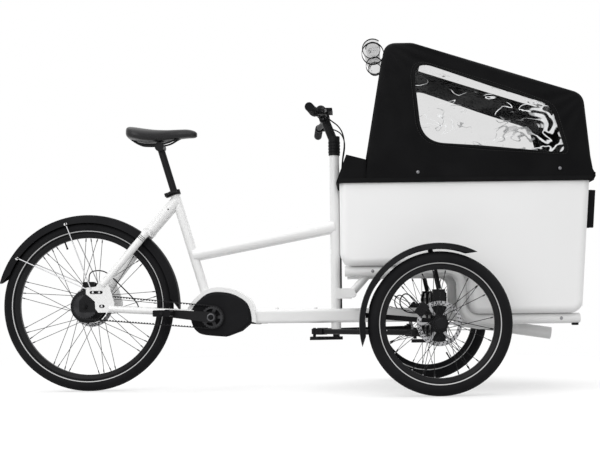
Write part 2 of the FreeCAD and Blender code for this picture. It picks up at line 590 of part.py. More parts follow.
# Uprights, knuckles, front fenders, tie rods.
cheek_in = d.arm_width / 2 + d.lean_plate_gap
cheek_out = cheek_in + d.upright_cheek
king_x = d.wheelbase
for side, tag in side_names.items():
    king_y = side * d.kingpin_offset
    outer_y = king_y + side * d.upright_outer_depth
    block_y = king_y - side * d.upright_inner_depth
    inner_y = side * (d.arm_pivot_offset - d.cheek_reach)
    shoulder_y = king_y + side * d.upright_shoulder
    boss_half = math.sqrt(d.upright_outer_depth ** 2 - d.upright_shoulder ** 2)
    outline = [(-cheek_out, shoulder_y), (-boss_half, shoulder_y), (0, outer_y, boss_half, shoulder_y),
               (cheek_out, shoulder_y), (cheek_out, inner_y), (cheek_in, inner_y), (cheek_in, block_y),
               (-cheek_in, block_y), (-cheek_in, inner_y), (-cheek_out, inner_y)]
    body = document.addObject("PartDesign::Body", tag + "_upright_block")
    sketch = sketched(body, tag + "_upright_profile", outline,
                      [(0, king_y, d.kingpin_radius + d.running_gap)], "XY_Plane")
    pad = body.newObject("PartDesign::Pad", tag + "_upright_pad")
    pad.Profile = sketch
    pad.setExpression("Length", "Sizes.upright_high - Sizes.upright_low")
    holes = [(side * d.arm_pivot_offset, z - d.upright_low, d.arm_pin_radius + d.running_gap)
             for z in (d.lower_arm_z, d.upper_arm_z)]
    bores = body.newObject("Sketcher::SketchObject", tag + "_upright_bores")
    plane = [item for item in body.Origin.OriginFeatures if item.Role == "YZ_Plane"][0]
    bores.AttachmentSupport = (plane, [""])
    bores.MapMode = "FlatFace"
    for y, z, radius in holes:
        bores.addGeometry(Part.Circle(Vector(y, z, 0), up, radius), False)
    pocket = body.newObject("PartDesign::Pocket", tag + "_upright_pocket")
    pocket.Profile = bores
    pocket.Type = "ThroughAll"
    pocket.Midplane = True
    body.Tip = pocket
    body.Placement = Placement(at(king_x, 0, d.upright_low), Rotation())
    pins = [rod(tag + "_arm_pin_%d" % order, at(king_x - cheek_out - d.pin_head, side * d.arm_pivot_offset,
                                                z),
                at(king_x + cheek_out + d.pin_head, side * d.arm_pivot_offset, z), "arm_pin_radius")
            for order, z in enumerate((d.lower_arm_z, d.upper_arm_z))]
    keep(tag + "_upright", group(tag + "_upright", [body] + pins))

    # knuckle: plate outboard of the upright, an arm over and under it, kingpin and stub axle
    plate_in = outer_y + side * d.knuckle_plate_gap
    plate_out = plate_in + side * d.knuckle_plate
    arm_in = king_y - side * d.knuckle_arm_reach
    low_top = d.upright_low - d.fit_gap
    high_low = d.upright_high + d.fit_gap
    low = low_top - d.knuckle_arm_height
    high = high_low + d.knuckle_arm_height

    def block(name, x0, x1, y0, y1, z0, z1):
        thing = document.addObject("Part::Box", name)
        thing.Length = x1 - x0
        thing.Width = abs(y1 - y0)
        thing.Height = z1 - z0
        thing.Placement.Base = at(x0, min(y0, y1), z0)
        return thing

    half = d.knuckle_half_length
    pieces = [block(tag + "_knuckle_plate", king_x - half, king_x + half, plate_in, plate_out, low, high),
              block(tag + "_knuckle_top", king_x - half, king_x + half, arm_in, plate_in, high_low, high),
              block(tag + "_knuckle_foot", king_x - half, king_x + half, arm_in, plate_in, low, low_top)]
    ear_x, ear_z = polar(d.caliper_reach, d.caliper_angle)
    pieces.append(block(tag + "_caliper_ear", king_x + ear_x, king_x - half, plate_in, plate_out,
                        d.front_wheel_radius + ear_z - d.caliper_ear_half_height,
                        d.front_wheel_radius + ear_z + d.caliper_ear_half_height))
    boss_x = king_x - d.steer_arm_length
    pieces.append(block(tag + "_steer_arm", boss_x, king_x - half, king_y - d.steer_arm_half_width,
                        king_y + d.steer_arm_half_width, low, low_top))
    pieces.append(rod(tag + "_steer_boss", at(boss_x, king_y, low), at(boss_x, king_y, low_top),
                      "steer_boss_radius"))
    hub_z = d.front_wheel_radius
    hub_in = side * (d.half_track - d.front_hub_inner - d.fit_gap)
    hub_out = side * (d.half_track + d.front_hub_outer)
    pieces.append(rod(tag + "_shoulder", at(king_x, plate_out, hub_z), at(king_x, hub_in, hub_z),
                      "stub_shoulder_radius"))
    cap_in = hub_out + side * d.fit_gap
    pieces.append(rod(tag + "_stub", at(king_x, hub_in, hub_z), at(king_x, cap_in, hub_z), "stub_radius"))
    cap_base = cap_in + side * (d.hub_cap_length - d.hub_cap_taper)
    pieces.append(rod(tag + "_cap", at(king_x, cap_in, hub_z), at(king_x, cap_base, hub_z),
                      "hub_cap_radius"))
    cone = document.addObject("Part::Cone", tag + "_cap_end")
    cone.setExpression("Radius1", cell("hub_cap_radius"))
    cone.setExpression("Radius2", "Sizes.hub_cap_radius - Sizes.hub_cap_taper")
    cone.setExpression("Height", cell("hub_cap_taper"))
    cone.Placement = Placement(at(king_x, cap_base, hub_z), Rotation(up, Vector(0, side, 0)))
    pieces.append(cone)
    pieces.append(rod(tag + "_kingpin", at(king_x, king_y, low), at(king_x, king_y, high), "kingpin_radius"))
    knuckle = fuse(tag + "_knuckle_body", pieces)
    # caliper over the disc, its inner cheek on the knuckle's side
    disc_y = side * (d.half_track - d.front_hub_inner + d.disc_thickness / 2)
    slot_in = disc_y - side * d.caliper_slot / 2
    slot_out = disc_y + side * d.caliper_slot / 2
    cx, cz = polar(d.caliper_reach, d.caliper_angle)
    half_long, half_high = d.caliper_length / 2, d.caliper_height / 2
    outline = rounded([(-half_high, -half_long), (half_high, -half_long), (half_high, half_long),
                       (-half_high, half_long)], d.latch_round)

    def in_wheel(points):
        placed = []
        for item in points:
            pairs = []
            for k in range(0, len(item), 2):
                turn = math.radians(d.caliper_angle)
                pairs.append(king_x + cx + item[k] * math.cos(turn) - item[k + 1] * math.sin(turn))
                pairs.append(hub_z + cz + item[k] * math.sin(turn) + item[k + 1] * math.cos(turn))
            placed.append(tuple(pairs))
        return placed

    face = in_wheel(outline)
    inner_end = plate_out + side * d.fit_gap
    outer_end = slot_out + side * d.caliper_outer_cheek
    whole = side_prism(face, max(inner_end, outer_end), min(inner_end, outer_end))
    open_part = [
        (-half_high - d.overrun, -half_long - d.overrun),
        (half_high - d.caliper_cheek, -half_long - d.overrun),
        (half_high - d.caliper_cheek, half_long + d.overrun),
        (-half_high - d.overrun, half_long + d.overrun)]
    slot = side_prism(in_wheel(open_part), max(slot_in, slot_out), min(slot_in, slot_out))
    caliper = feature(tag + "_caliper", whole.cut(slot))
    keep(tag + "_knuckle", group(tag + "_knuckle", [knuckle, caliper]))

    # fender, with a strut from the knuckle's top and a flat bar to its rear
    centre = at(d.wheelbase, side * d.half_track, d.front_wheel_radius)
    blade = fender(tag + "_fender_blade", d.front_fender_radius, d.front_fender_half_width,
                   d.front_fender_skirt, d.front_fender_start, d.front_fender_end, centre)
    bar_y = side * (d.half_track - d.front_fender_half_width - d.fit_gap - d.carrier_bar_radius)
    lean = math.tan(math.radians(d.fender_strut_lean))
    foot_z = high + d.fit_gap
    strut = rod(tag + "_fender_strut", at(king_x, bar_y, foot_z),
                at(king_x - (d.fender_strut_top - foot_z) * lean, bar_y, d.fender_strut_top),
                "carrier_bar_radius")
    tip_x, tip_z = polar(d.front_fender_radius - d.front_fender_skirt, d.fender_bar_angle)
    half_bar = d.fender_bar_half_height
    start_x = king_x - half - d.fit_gap
    flat = [(start_x, d.fender_bar_z - half_bar), (start_x, d.fender_bar_z + half_bar),
            (king_x + tip_x, hub_z + tip_z + half_bar), (king_x + tip_x, hub_z + tip_z - half_bar)]
    bar_in = bar_y - side * d.carrier_bar_radius
    bar_to = bar_in + side * 2 * d.fender_bar_half_thickness
    bar = side_prism(flat, max(bar_in, bar_to), min(bar_in, bar_to))
    keep(tag + "_fender", group(tag + "_fender", [blade, strut, feature(tag + "_fender_bar", bar)]))

    # tie rod: a joint block on the steering arm's stud, then the rod to the knuckle's arm
    stud = at(d.head_x - d.steer_arm_length, side * d.rod_stud_offset, d.rod_z)
    end = at(boss_x, king_y, d.rod_z)
    along = (end - stud).normalize()
    across = up.cross(along)
    pitch = stud + along * d.joint_link
    tall = up * (d.joint_height / 2)
    barrel = Part.makeCylinder(d.joint_radius, d.joint_height, stud - tall, up)
    corner = stud - across * (d.joint_tongue / 2) - tall
    tongue = Part.makeBox(d.joint_link, d.joint_tongue, d.joint_height)
    tongue.Placement = Placement(corner, Rotation(along, across, up, "XYZ"))
    tongue_end = Part.makeCylinder(d.joint_height / 2, d.joint_tongue, pitch - across * (d.joint_tongue / 2),
                                   across)
    pin = Part.makeCylinder(d.joint_pin_radius, d.joint_pin_length,
                            pitch - across * (d.joint_pin_length / 2), across)
    stud_bore = Part.makeCylinder(d.rod_stud_radius + d.running_gap, d.joint_height + 2 * d.overrun,
                                  stud - tall - up * d.overrun, up)
    keep(
        tag + "_rod_joint",
        feature(tag + "_rod_joint", barrel.fuse([tongue, tongue_end, pin]).cut(stud_bore).removeSplitter()))
    wide = d.rod_fork_half_width
    fork_start = pitch - along * d.rod_fork_back
    fork = Part.makeBox(d.rod_fork_back + d.rod_fork_length, 2 * wide, d.rod_fork_height)
    turn = Rotation(along, across, up, "XYZ")
    fork.Placement = Placement(fork_start - across * wide - up * (d.rod_fork_height / 2), turn)
    gap_length = d.overrun + d.rod_fork_back + d.joint_height / 2 + d.joint_clear
    gap = Part.makeBox(gap_length, 2 * (wide - d.rod_fork_cheek), d.rod_fork_height + 2 * d.overrun)
    gap.Placement = Placement(fork_start - along * d.overrun - across * (wide - d.rod_fork_cheek)
                              - up * (d.rod_fork_height / 2 + d.overrun), turn)
    hole = Part.makeCylinder(d.joint_pin_radius + d.running_gap, 2 * wide + 2 * d.overrun,
                             pitch - across * (wide + d.overrun), across)
    shaft_start = pitch + along * (d.rod_fork_length - d.overrun)
    shaft = Part.makeCylinder(d.rod_radius, (end - shaft_start).Length, shaft_start, along)
    eye = Part.makeCylinder(d.rod_eye_radius, 2 * d.rod_eye_half_height, end - up * d.rod_eye_half_height,
                            up)
    bolt_low = low_top + d.rod_bolt_gap
    bolt = Part.makeCylinder(d.rod_bolt_radius, d.rod_z + d.rod_eye_half_height + d.rod_bolt_top - bolt_low,
                             Vector(end.x, end.y, bolt_low), up)
    whole = fork.cut(gap).cut(hole).fuse([shaft, eye, bolt]).removeSplitter()
    keep(tag + "_tie_rod", feature(tag + "_tie_rod", whole))

# Main frame.
lean = math.tan(math.radians(d.seat_tube_lean))


def seat_axis(z):
    return at(d.seat_foot_x - (z - d.seat_foot_z) * lean, 0, z)


def eased(points, steps):
    # a Catmull-Rom curve through the points, as short straight steps
    ends = [points[0]] + points + [points[-1]]
    placed = []
    for a, b, c, e in zip(ends, ends[1:], ends[2:], ends[3:]):
        for step in range(steps):
            t = step / steps
            placed.append(tuple(
                (2 * q + (r - p) * t + (2 * p - 5 * q + 4 * r - s) * t ** 2
                 + (3 * q - p - 3 * r + s) * t ** 3) / 2 for p, q, r, s in zip(a, b, c, e)))
    return placed + [points[-1]]


def motor_outline(extra):
    # rounded from the lowest corner over the rear and the top to the front corner
    placed = []
    for sx, sz in motor_outline_shares:
        x = d.crank_x + sx * ((d.motor_front if sx > 0 else d.motor_rear) + extra)
        z = d.crank_z + sz * ((d.motor_top if sz > 0 else d.motor_bottom) + extra)
        placed.append((x, z))
    return eased(placed[:-1], motor_steps) + placed[-1:]


seat_along = (seat_axis(d.seat_tube_top_z) - seat_axis(d.seat_foot_z)).normalize()
arch_outer = motor_outline(d.arch_band)[arch_first:arch_last]
arch_gap = motor_outline(d.fit_gap)
arch_inner = arch_gap[arch_first:arch_last]
arch_outline = arch_outer + list(reversed(arch_inner))
arch = side_plate("motor_arch", arch_outline, [], "Sizes.arch_half_width * 2", d.arch_half_width)
arch_full = side_prism(arch_outer + arch_gap[arch_last:] + arch_gap[:arch_first], d.arch_half_width,
                       -d.arch_half_width)
arch_tool = feature("arch_tool", arch_full)
head_low = at(d.head_x, 0, d.head_low)
head_high = at(d.head_x, 0, d.head_high)
head_tube = hollow("head_tube", head_low, head_high, "head_radius", "head_bore")
seat_solid = rod("seat_solid", seat_axis(d.crank_z), seat_axis(d.seat_tube_top_z), "seat_tube_radius")
seat_bore = rod("seat_bore_tool", seat_axis(d.crank_z),
                seat_axis(d.seat_tube_top_z) + seat_along * d.overrun, "seat_bore")
seat_tube = cut("seat_tube", cut("seat_blank", seat_solid, arch_tool), seat_bore)
top_start = seat_axis(d.top_tube_rear_z)
top_end = at(d.head_x, 0, d.top_tube_front_z)
top_blank = hollow("top_blank", top_start, top_end, "top_tube_radius",
                   "Sizes.top_tube_radius - Sizes.tube_wall")
joints = fuse("frame_uprights", [seat_solid, rod("head_solid", head_low, head_high, "head_radius")])
top_tube = cut("top_tube", top_blank, joints)
half_w, half_h = d.beam_width / 2, d.beam_height / 2
beam_outline = rounded([(-half_w, d.beam_z - half_h), (half_w, d.beam_z - half_h),
                        (half_w, d.beam_z + half_h),
                        (-half_w, d.beam_z + half_h)], d.beam_corner)
beam_start = arch_outer[-1][0] - d.arch_band
beam_body = document.addObject("PartDesign::Body", "beam_blank")
beam_sketch = sketched(beam_body, "beam_profile", beam_outline, [], "XY_Plane")
beam_pad = beam_body.newObject("PartDesign::Pad", "beam_pad")
beam_pad.Profile = beam_sketch
beam_pad.Length = d.beam_front_x - beam_start
beam_body.Tip = beam_pad
beam_body.Placement = Placement(at(beam_start, 0, 0), Rotation(Vector(0, 1, 0), up, Vector(1, 0, 0), "ZXY"))
beam_cut = cut("beam_cut", beam_body, rod("head_hole", head_low - up * d.overrun, head_high, "head_radius"))
main_beam = cut("main_beam", beam_cut, arch_tool)
step_start = at(d.beam_front_x, 0, d.step_start_z)
step_end = at(d.step_end_x, 0, d.step_end_z)
step_back = (step_start - step_end).normalize() * d.step_radius
step_tube = cut("step_tube", rod("step_blank", step_start + step_back, step_end, "step_radius"), beam_body)
step_cap = rod("step_cap", step_end, step_end - step_back.normalize() * d.step_cap, "step_radius")
bosses = []
for order in range(2):
    foot = at(d.beam_boss_rear_x + order * d.beam_boss_spacing, 0, d.beam_z + half_h)
    blank = rod("beam_boss_blank_%d" % order, foot, foot + up * d.boss_height, "boss_radius")
    drill = rod("beam_boss_drill_%d" % order, foot, foot + up * (d.boss_height + d.overrun), "boss_hole")
    bosses.append(cut("beam_boss_%d" % order, blank, drill))
keep("main_frame", group("main_frame", [arch, head_tube, seat_tube, top_tube, main_beam, step_tube,
                                        step_cap] + bosses))

# Rear stays.
yx, yz = polar(d.rear_fender_radius + d.fit_gap + d.yoke_radius, d.yoke_angle)
yoke_centre = at(yx, 0, d.rear_wheel_radius + yz)
yoke = rod(
    "stay_yoke", yoke_centre - Vector(0, d.yoke_half_length, 0),
    yoke_centre + Vector(0, d.yoke_half_length, 0), "yoke_radius")
collar_end = seat_axis(d.seat_tube_top_z) - seat_along * d.fit_gap
collar_start = collar_end - seat_along * d.collar_height
collar_room = Part.makeCylinder(d.collar_radius + d.fit_gap, d.collar_height + d.overrun,
                                collar_start - seat_along * d.fit_gap, seat_along)
mono_tools = fuse("mono_tools", [seat_solid, yoke, feature("collar_room", collar_room)])
mono = cut("mono_stay", rod("mono_blank", yoke_centre, seat_axis(d.mono_top_z), "mono_radius"), mono_tools)
stay_pieces = [yoke, mono]
motor_reach = d.motor_half_width + d.cover_thickness + d.overrun
motor_room = feature("motor_room", side_prism(arch_gap, motor_reach, -motor_reach))
carrier_pieces = []
dropout_low = d.rear_wheel_radius - d.dropout_drop
slot_upper_z = d.rear_wheel_radius + d.slot_upper_rise
dropout = [(d.dropout_x + sx * d.dropout_length, dropout_low + sz * d.dropout_height) for sx,
           sz in dropout_shares]


def slot_outline(x, z, length):
    half = length / 2 - d.slot_half_width
    r = d.slot_half_width
    return [(x - half, z - r), (x + half, z - r), (x + half + r, z, x + half, z + r), (x - half, z + r),
            (x - half - r, z, x - half, z - r)]


for side, tag in side_names.items():
    y_in, y_out = side * d.dropout_inner, side * (d.dropout_inner + d.dropout_plate)
    plate_y = max(y_in, y_out)
    plate = side_plate(tag + "_dropout_blank", dropout, [], "dropout_plate", plate_y)
    upper = side_prism(slot_outline(d.slot_upper_x, slot_upper_z, d.slot_upper_length), plate_y + d.overrun,
                       min(y_in, y_out) - d.overrun)
    lower = side_prism(slot_outline(d.slot_lower_x, d.rear_wheel_radius, d.slot_lower_length),
                       plate_y + d.overrun,
                       min(y_in, y_out) - d.overrun)
    slots = feature(tag + "_dropout_slots", Part.makeCompound([upper, lower]))
    plate_done = cut(tag + "_dropout", plate, slots)
    mid_y = (y_in + y_out) / 2
    leg_blank = rod(tag + "_leg_blank", Vector(yoke_centre.x, side * d.leg_top_y, yoke_centre.z),
                    at(d.leg_end_x, mid_y, d.rear_wheel_radius + d.leg_end_rise), "leg_radius")
    leg = cut(tag + "_leg", cut(tag + "_leg_trim", leg_blank, yoke), plate)
    chain_blank = rod(tag + "_stay_blank", at(d.stay_front_x, side * d.stay_front_y, d.stay_front_z),
                      at(d.stay_rear_x, mid_y, d.rear_wheel_radius - d.stay_rear_drop), "stay_radius")
    chain_trim = cut(tag + "_stay_trim", chain_blank, plate)
    chain = cut(tag + "_chain_stay", cut(tag + "_stay_mouth", chain_trim, arch_tool), motor_room)
    stay_pieces += [plate_done, leg, chain]
    c_out = side * (d.dropout_inner - d.carrier_gap)
    c_in = c_out - side * d.carrier_plate
    ring = d.carrier_boss_radius
    z0 = d.rear_wheel_radius
    ear = [(ring, z0 + d.carrier_ear_top), (-ring, z0 + d.carrier_ear_top)] if side > 0 else []
    shape = rounded([(-ring, z0 - d.carrier_low), (d.carrier_reach_x, z0 - d.carrier_low),
                     (d.carrier_reach_x - ring / 2, z0 + d.carrier_top), (ring, z0 + d.carrier_top)] + ear
                    + [(-ring, z0 + ring)], d.slot_half_width)
    plate_c = side_prism(shape, max(c_in, c_out), min(c_in, c_out),
                         [(0, z0, d.rear_axle_radius + d.running_gap)])
    bolts = []
    for bx, bz in (
        (d.slot_upper_x - d.slot_half_width * 2, slot_upper_z),
        (d.slot_upper_x + d.slot_half_width * 2, slot_upper_z), (d.slot_lower_x, d.rear_wheel_radius)):
        start = at(bx, c_out, bz)
        length = d.carrier_gap + d.dropout_plate + d.carrier_bolt_out
        bolts.append(Part.makeCylinder(d.carrier_bolt_radius, length, start, Vector(0, side, 0)))
    carrier_pieces.append(feature(tag + "_carrier", plate_c.fuse(bolts)))
    nut_in = side * (d.dropout_inner + d.fit_gap)
    nut = Part.makeCylinder(d.axle_nut_radius, d.axle_nut_length, at(0, nut_in, z0), Vector(0, side, 0))
    nut_bore = Part.makeCylinder(d.rear_axle_radius + d.running_gap, d.axle_nut_length + 2 * d.overrun,
                                 at(0, nut_in - side * d.overrun, z0), Vector(0, side, 0))
    carrier_pieces.append(feature(tag + "_axle_nut", nut.cut(nut_bore)))
keep("rear_stays", group("rear_stays", stay_pieces))
axle = rod("rear_axle_rod", at(0, -d.rear_axle_half_length, d.rear_wheel_radius),
           at(0, d.rear_axle_half_length, d.rear_wheel_radius), "rear_axle_radius")
keep("axle_carriers", group("axle_carriers", carrier_pieces + [axle]))
# rear caliper above the disc on the left, inside the dropout
cx, cz = polar(d.caliper_reach, rear_caliper_angle)
half_long, half_high = d.caliper_length / 2, d.caliper_height / 2
disc_y = d.rear_disc_offset + d.disc_thickness / 2
caliper_face = rounded(
    [(cx - half_long, d.rear_wheel_radius + cz - half_high),
    (cx + half_long, d.rear_wheel_radius + cz - half_high),
    (cx + half_long, d.rear_wheel_radius + cz + half_high),
    (cx - half_long, d.rear_wheel_radius + cz + half_high)], d.latch_round)
caliper_seat = d.dropout_inner - d.carrier_gap - d.carrier_plate - d.fit_gap
rear_cal = side_prism(caliper_face, caliper_seat, disc_y - d.caliper_slot / 2 - d.caliper_cheek)
rear_slot = Part.makeCylinder(d.disc_radius + d.caliper_slot / 2, d.caliper_slot,
                              at(0, disc_y - d.caliper_slot / 2, d.rear_wheel_radius),
                              Vector(0, 1, 0))
keep("rear_caliper", feature("rear_caliper", rear_cal.cut(rear_slot)))

# Motor: inner housing between two cover shells.
spindle_hole = (d.crank_x, d.crank_z, d.spindle_bore)
core = side_prism(motor_outline(-d.motor_inset), d.motor_half_width,
                  -d.motor_half_width, [spindle_hole])
motor_pieces = [feature("motor_housing", core)]
for side, tag in side_names.items():
    y_in = side * (d.motor_half_width + d.fit_gap)
    y_out = y_in + side * (d.cover_thickness - d.cover_edge)
    y_end = y_out + side * d.cover_edge
    flat = side_prism(motor_outline(0), max(y_in, y_out), min(y_in, y_out),
                      [spindle_hole])
    rim = motor_outline(0)
    small = motor_outline(-d.cover_edge * 2)
    wires = []
    for outline, y in ((rim, y_out), (small, y_end)):
        wires.append(
            Part.makePolygon([at(x, y, z) for x, z in outline] + [at(outline[0][0], y, outline[0][1])]))
    dome = Part.makeLoft(wires, True, True)
    drill = Part.makeCylinder(d.spindle_bore, d.cover_edge + 2 * d.overrun,
                              at(d.crank_x, y_out - side * d.overrun, d.crank_z),
                              Vector(0, side, 0))
    motor_pieces.append(feature(tag + "_cover", flat.fuse(dome.cut(drill)).removeSplitter()))
keep("drive_motor", group("drive_motor", motor_pieces))

# Toothed drive. The belt's pitch line runs round both sprockets.
def pitch_radius(teeth):
    return d.belt_pitch * teeth / (2 * math.pi)


def sprocket(name, teeth, centre, phase, hub_radius, hub_bore, arms):
    top = pitch_radius(teeth) - d.belt_back / 2 - d.belt_seat_gap
    points = []
    step = 360 / teeth
    for index in range(teeth):
        middle = phase + index * step
        open_half = math.degrees(d.groove_half_width / top)
        tip_half = math.degrees(d.groove_tip_half_width / top)
        points += [polar(top, middle - open_half), polar(top - d.groove_depth, middle - tip_half),
                   polar(top - d.groove_depth, middle + tip_half), polar(top, middle + open_half)]
    y = -d.belt_line + d.sprocket_width / 2
    placed = [(centre[0] + x, centre[1] + z) for x, z in points]
    shape = side_prism(placed, y, y - d.sprocket_width, [(centre[0], centre[1], hub_bore)])
    ring = top - d.sprocket_rim
    for index in range(arms):
        a, b = 360 / arms * index, 360 / arms * (index + 1)
        outer_half = math.degrees(d.sprocket_arm_half_width / ring)
        inner_half = math.degrees(d.sprocket_arm_half_width / hub_radius)
        if b - a < 2 * inner_half + step or ring < hub_radius + d.overrun:
            continue
        corners = [polar(hub_radius, a + inner_half), polar(ring, a + outer_half),
                   polar(ring, (a + b) / 2) + polar(ring, b - outer_half), polar(hub_radius, b - inner_half),
                   polar(hub_radius, (a + b) / 2) + polar(hub_radius, a + inner_half)]
        spot = []
        for item in corners:
            spot.append(tuple(v + centre[k % 2] for k, v in enumerate(item)))
        shape = shape.cut(side_prism(spot, y + d.overrun, y - d.sprocket_width - d.overrun))
    return shape


front_c = (d.crank_x, d.crank_z)
rear_c = (0, d.rear_wheel_radius)
r_front, r_rear = pitch_radius(front_teeth), pitch_radius(rear_teeth)
span = math.hypot(front_c[0] - rear_c[0], front_c[1] - rear_c[1])
slope = math.degrees(math.atan2(front_c[1] - rear_c[1], front_c[0] - rear_c[0]))
tilt = math.degrees(math.asin((r_rear - r_front) / span))
run = math.sqrt(span ** 2 - (r_rear - r_front) ** 2)
wrap_rear = math.radians(180 + 2 * tilt) * r_rear
wrap_front = math.radians(180 - 2 * tilt) * r_front
loop = 2 * run + wrap_rear + wrap_front
tooth_step = loop / belt_teeth
top_angle = slope + 90 - tilt
low_angle = slope - 90 + tilt


def belt_point(s, lift):
    # s along the pitch line from the top of the rear sprocket forward; lift outward from it
    s = s % loop
    if s < run:
        x0, z0 = polar(r_rear + lift, top_angle)
        x1, z1 = polar(r_front + lift, top_angle)
        t = s / run
        return (rear_c[0] + x0 + (front_c[0] + x1 - rear_c[0] - x0) * t,
                rear_c[1] + z0 + (front_c[1] + z1 - rear_c[1] - z0) * t)
    s -= run
    if s < wrap_front:
        x, z = polar(r_front + lift, top_angle - math.degrees(s / r_front))
        return front_c[0] + x, front_c[1] + z
    s -= wrap_front
    if s < run:
        x0, z0 = polar(r_front + lift, low_angle)
        x1, z1 = polar(r_rear + lift, low_angle)
        t = s / run
        return (front_c[0] + x0 + (rear_c[0] + x1 - front_c[0] - x0) * t,
                front_c[1] + z0 + (rear_c[1] + z1 - front_c[1] - z0) * t)
    s -= run
    x, z = polar(r_rear + lift, low_angle - math.degrees(s / r_rear))
    return rear_c[0] + x, rear_c[1] + z


back, root, tip = d.belt_back / 2, -d.belt_back / 2, -d.belt_back / 2 - d.tooth_depth
outer_points = [belt_point(tooth_step * k / 2, back) for k in range(2 * belt_teeth)]
inner_points = []
for k in range(belt_teeth):
    s = tooth_step * k
    inner_points += [belt_point(s - d.tooth_half_width, root), belt_point(s - d.tooth_tip_half_width, tip),
                     belt_point(s + d.tooth_tip_half_width, tip), belt_point(s + d.tooth_half_width, root)]
belt_y = -d.belt_line + d.belt_width / 2
belt = side_prism(
    outer_points, belt_y, belt_y - d.belt_width).cut(side_prism(inner_points, belt_y + d.overrun,
    belt_y - d.belt_width - d.overrun))
keep("drive_belt", feature("drive_belt", belt))
# grooves in line with the belt tooth nearest the middle of each wrap
k_front = round((run + wrap_front / 2) / tooth_step)
x, z = belt_point(k_front * tooth_step, 0)
phase_front = math.degrees(math.atan2(z - front_c[1], x - front_c[0]))
k_rear = round((2 * run + wrap_front + wrap_rear / 2) / tooth_step)
x, z = belt_point(k_rear * tooth_step, 0)
phase_rear = math.degrees(math.atan2(z - rear_c[1], x - rear_c[0]))
keep(
    "drive_sprocket",
    feature("drive_sprocket", sprocket("drive", front_teeth, front_c, phase_front, d.sprocket_hub_radius,
    d.spindle_radius + d.running_gap, sprocket_arms)))
rear_ring = sprocket("driven", rear_teeth, rear_c, phase_rear, d.rear_sprocket_hub_radius,
                     d.rear_axle_radius + d.running_gap, 0)
spacer_low = -d.rear_hub_half_width - d.fit_gap
spacer_high = -d.belt_line + d.sprocket_width / 2
collar = Part.makeCylinder(
    d.sprocket_hub_radius, spacer_low - spacer_high, at(0, spacer_high, d.rear_wheel_radius),
    Vector(0, 1, 0))
collar_bore = Part.makeCylinder(d.rear_axle_radius + d.running_gap, spacer_low - spacer_high + 2 * d.overrun,
                                at(0, spacer_high - d.overrun, d.rear_wheel_radius), Vector(0, 1, 0))
keep("rear_sprocket", feature("rear_sprocket", rear_ring.fuse(collar.cut(collar_bore)).removeSplitter()))

# Crankset and pedals.
spindle_end = d.crank_arm_inner + d.crank_arm_thickness
spindle = rod("spindle", at(d.crank_x, -spindle_end, d.crank_z), at(d.crank_x, spindle_end, d.crank_z),
              "spindle_radius")
crank_pieces = [spindle]
for side, tag in side_names.items():
    angle = d.crank_angle if side < 0 else d.crank_angle + 180
    ex, ez = polar(d.crank_length, angle)
    nx, nz = polar(1, angle + 90)
    ux, uz = polar(1, angle)
    big, small = d.crank_boss_radius, d.crank_end_radius
    cx, cz = d.crank_x, d.crank_z
    outline = [(cx + nx * big, cz + nz * big), (cx - ux * big, cz - uz * big, cx - nx * big, cz - nz * big),
               (cx + ex - nx * small, cz + ez - nz * small),
               (cx + ex + ux * small, cz + ez + uz * small, cx + ex + nx * small, cz + ez + nz * small)]
    y_in, y_out = side * d.crank_arm_inner, side * spindle_end
    arm = side_prism(outline, max(y_in, y_out), min(y_in, y_out),
                     [(cx, cz, d.spindle_radius + d.running_gap)])
    crank_pieces.append(feature(tag + "_crank_arm", arm))
    axle_end = side * (spindle_end + d.pedal_gap + d.pedal_axle_length)
    crank_pieces.append(rod(tag + "_pedal_axle", at(cx + ex, y_out, cz + ez), at(cx + ex, axle_end, cz + ez),
                            "pedal_axle_radius"))
    start = side * (spindle_end + d.pedal_gap)
    end = start + side * d.pedal_length
    px, pz = cx + ex, cz + ez
    w, h = d.pedal_half_width, d.pedal_half_height
    frame = side_prism(rounded([(px - w, pz - h), (px + w, pz - h), (px + w, pz + h), (px - w, pz + h)],
                               d.latch_round),
                       max(start, end), min(start, end), [(px, pz, d.pedal_axle_radius + d.running_gap)])
    bay_start, bay_end = start + side * d.pedal_bar, end - side * d.pedal_bar
    for way in (1, -1):
        x0, x1 = px + way * (d.pedal_core_radius), px + way * (w - d.pedal_rail)
        bay = Part.makeBox(abs(x1 - x0), abs(bay_end - bay_start), 2 * h + 2 * d.overrun,
                           at(min(x0, x1), min(bay_start, bay_end), pz - h - d.overrun))
        frame = frame.cut(bay)
    keep(tag + "_pedal", feature(tag + "_pedal", frame))
keep("crankset", group("crankset", crank_pieces))
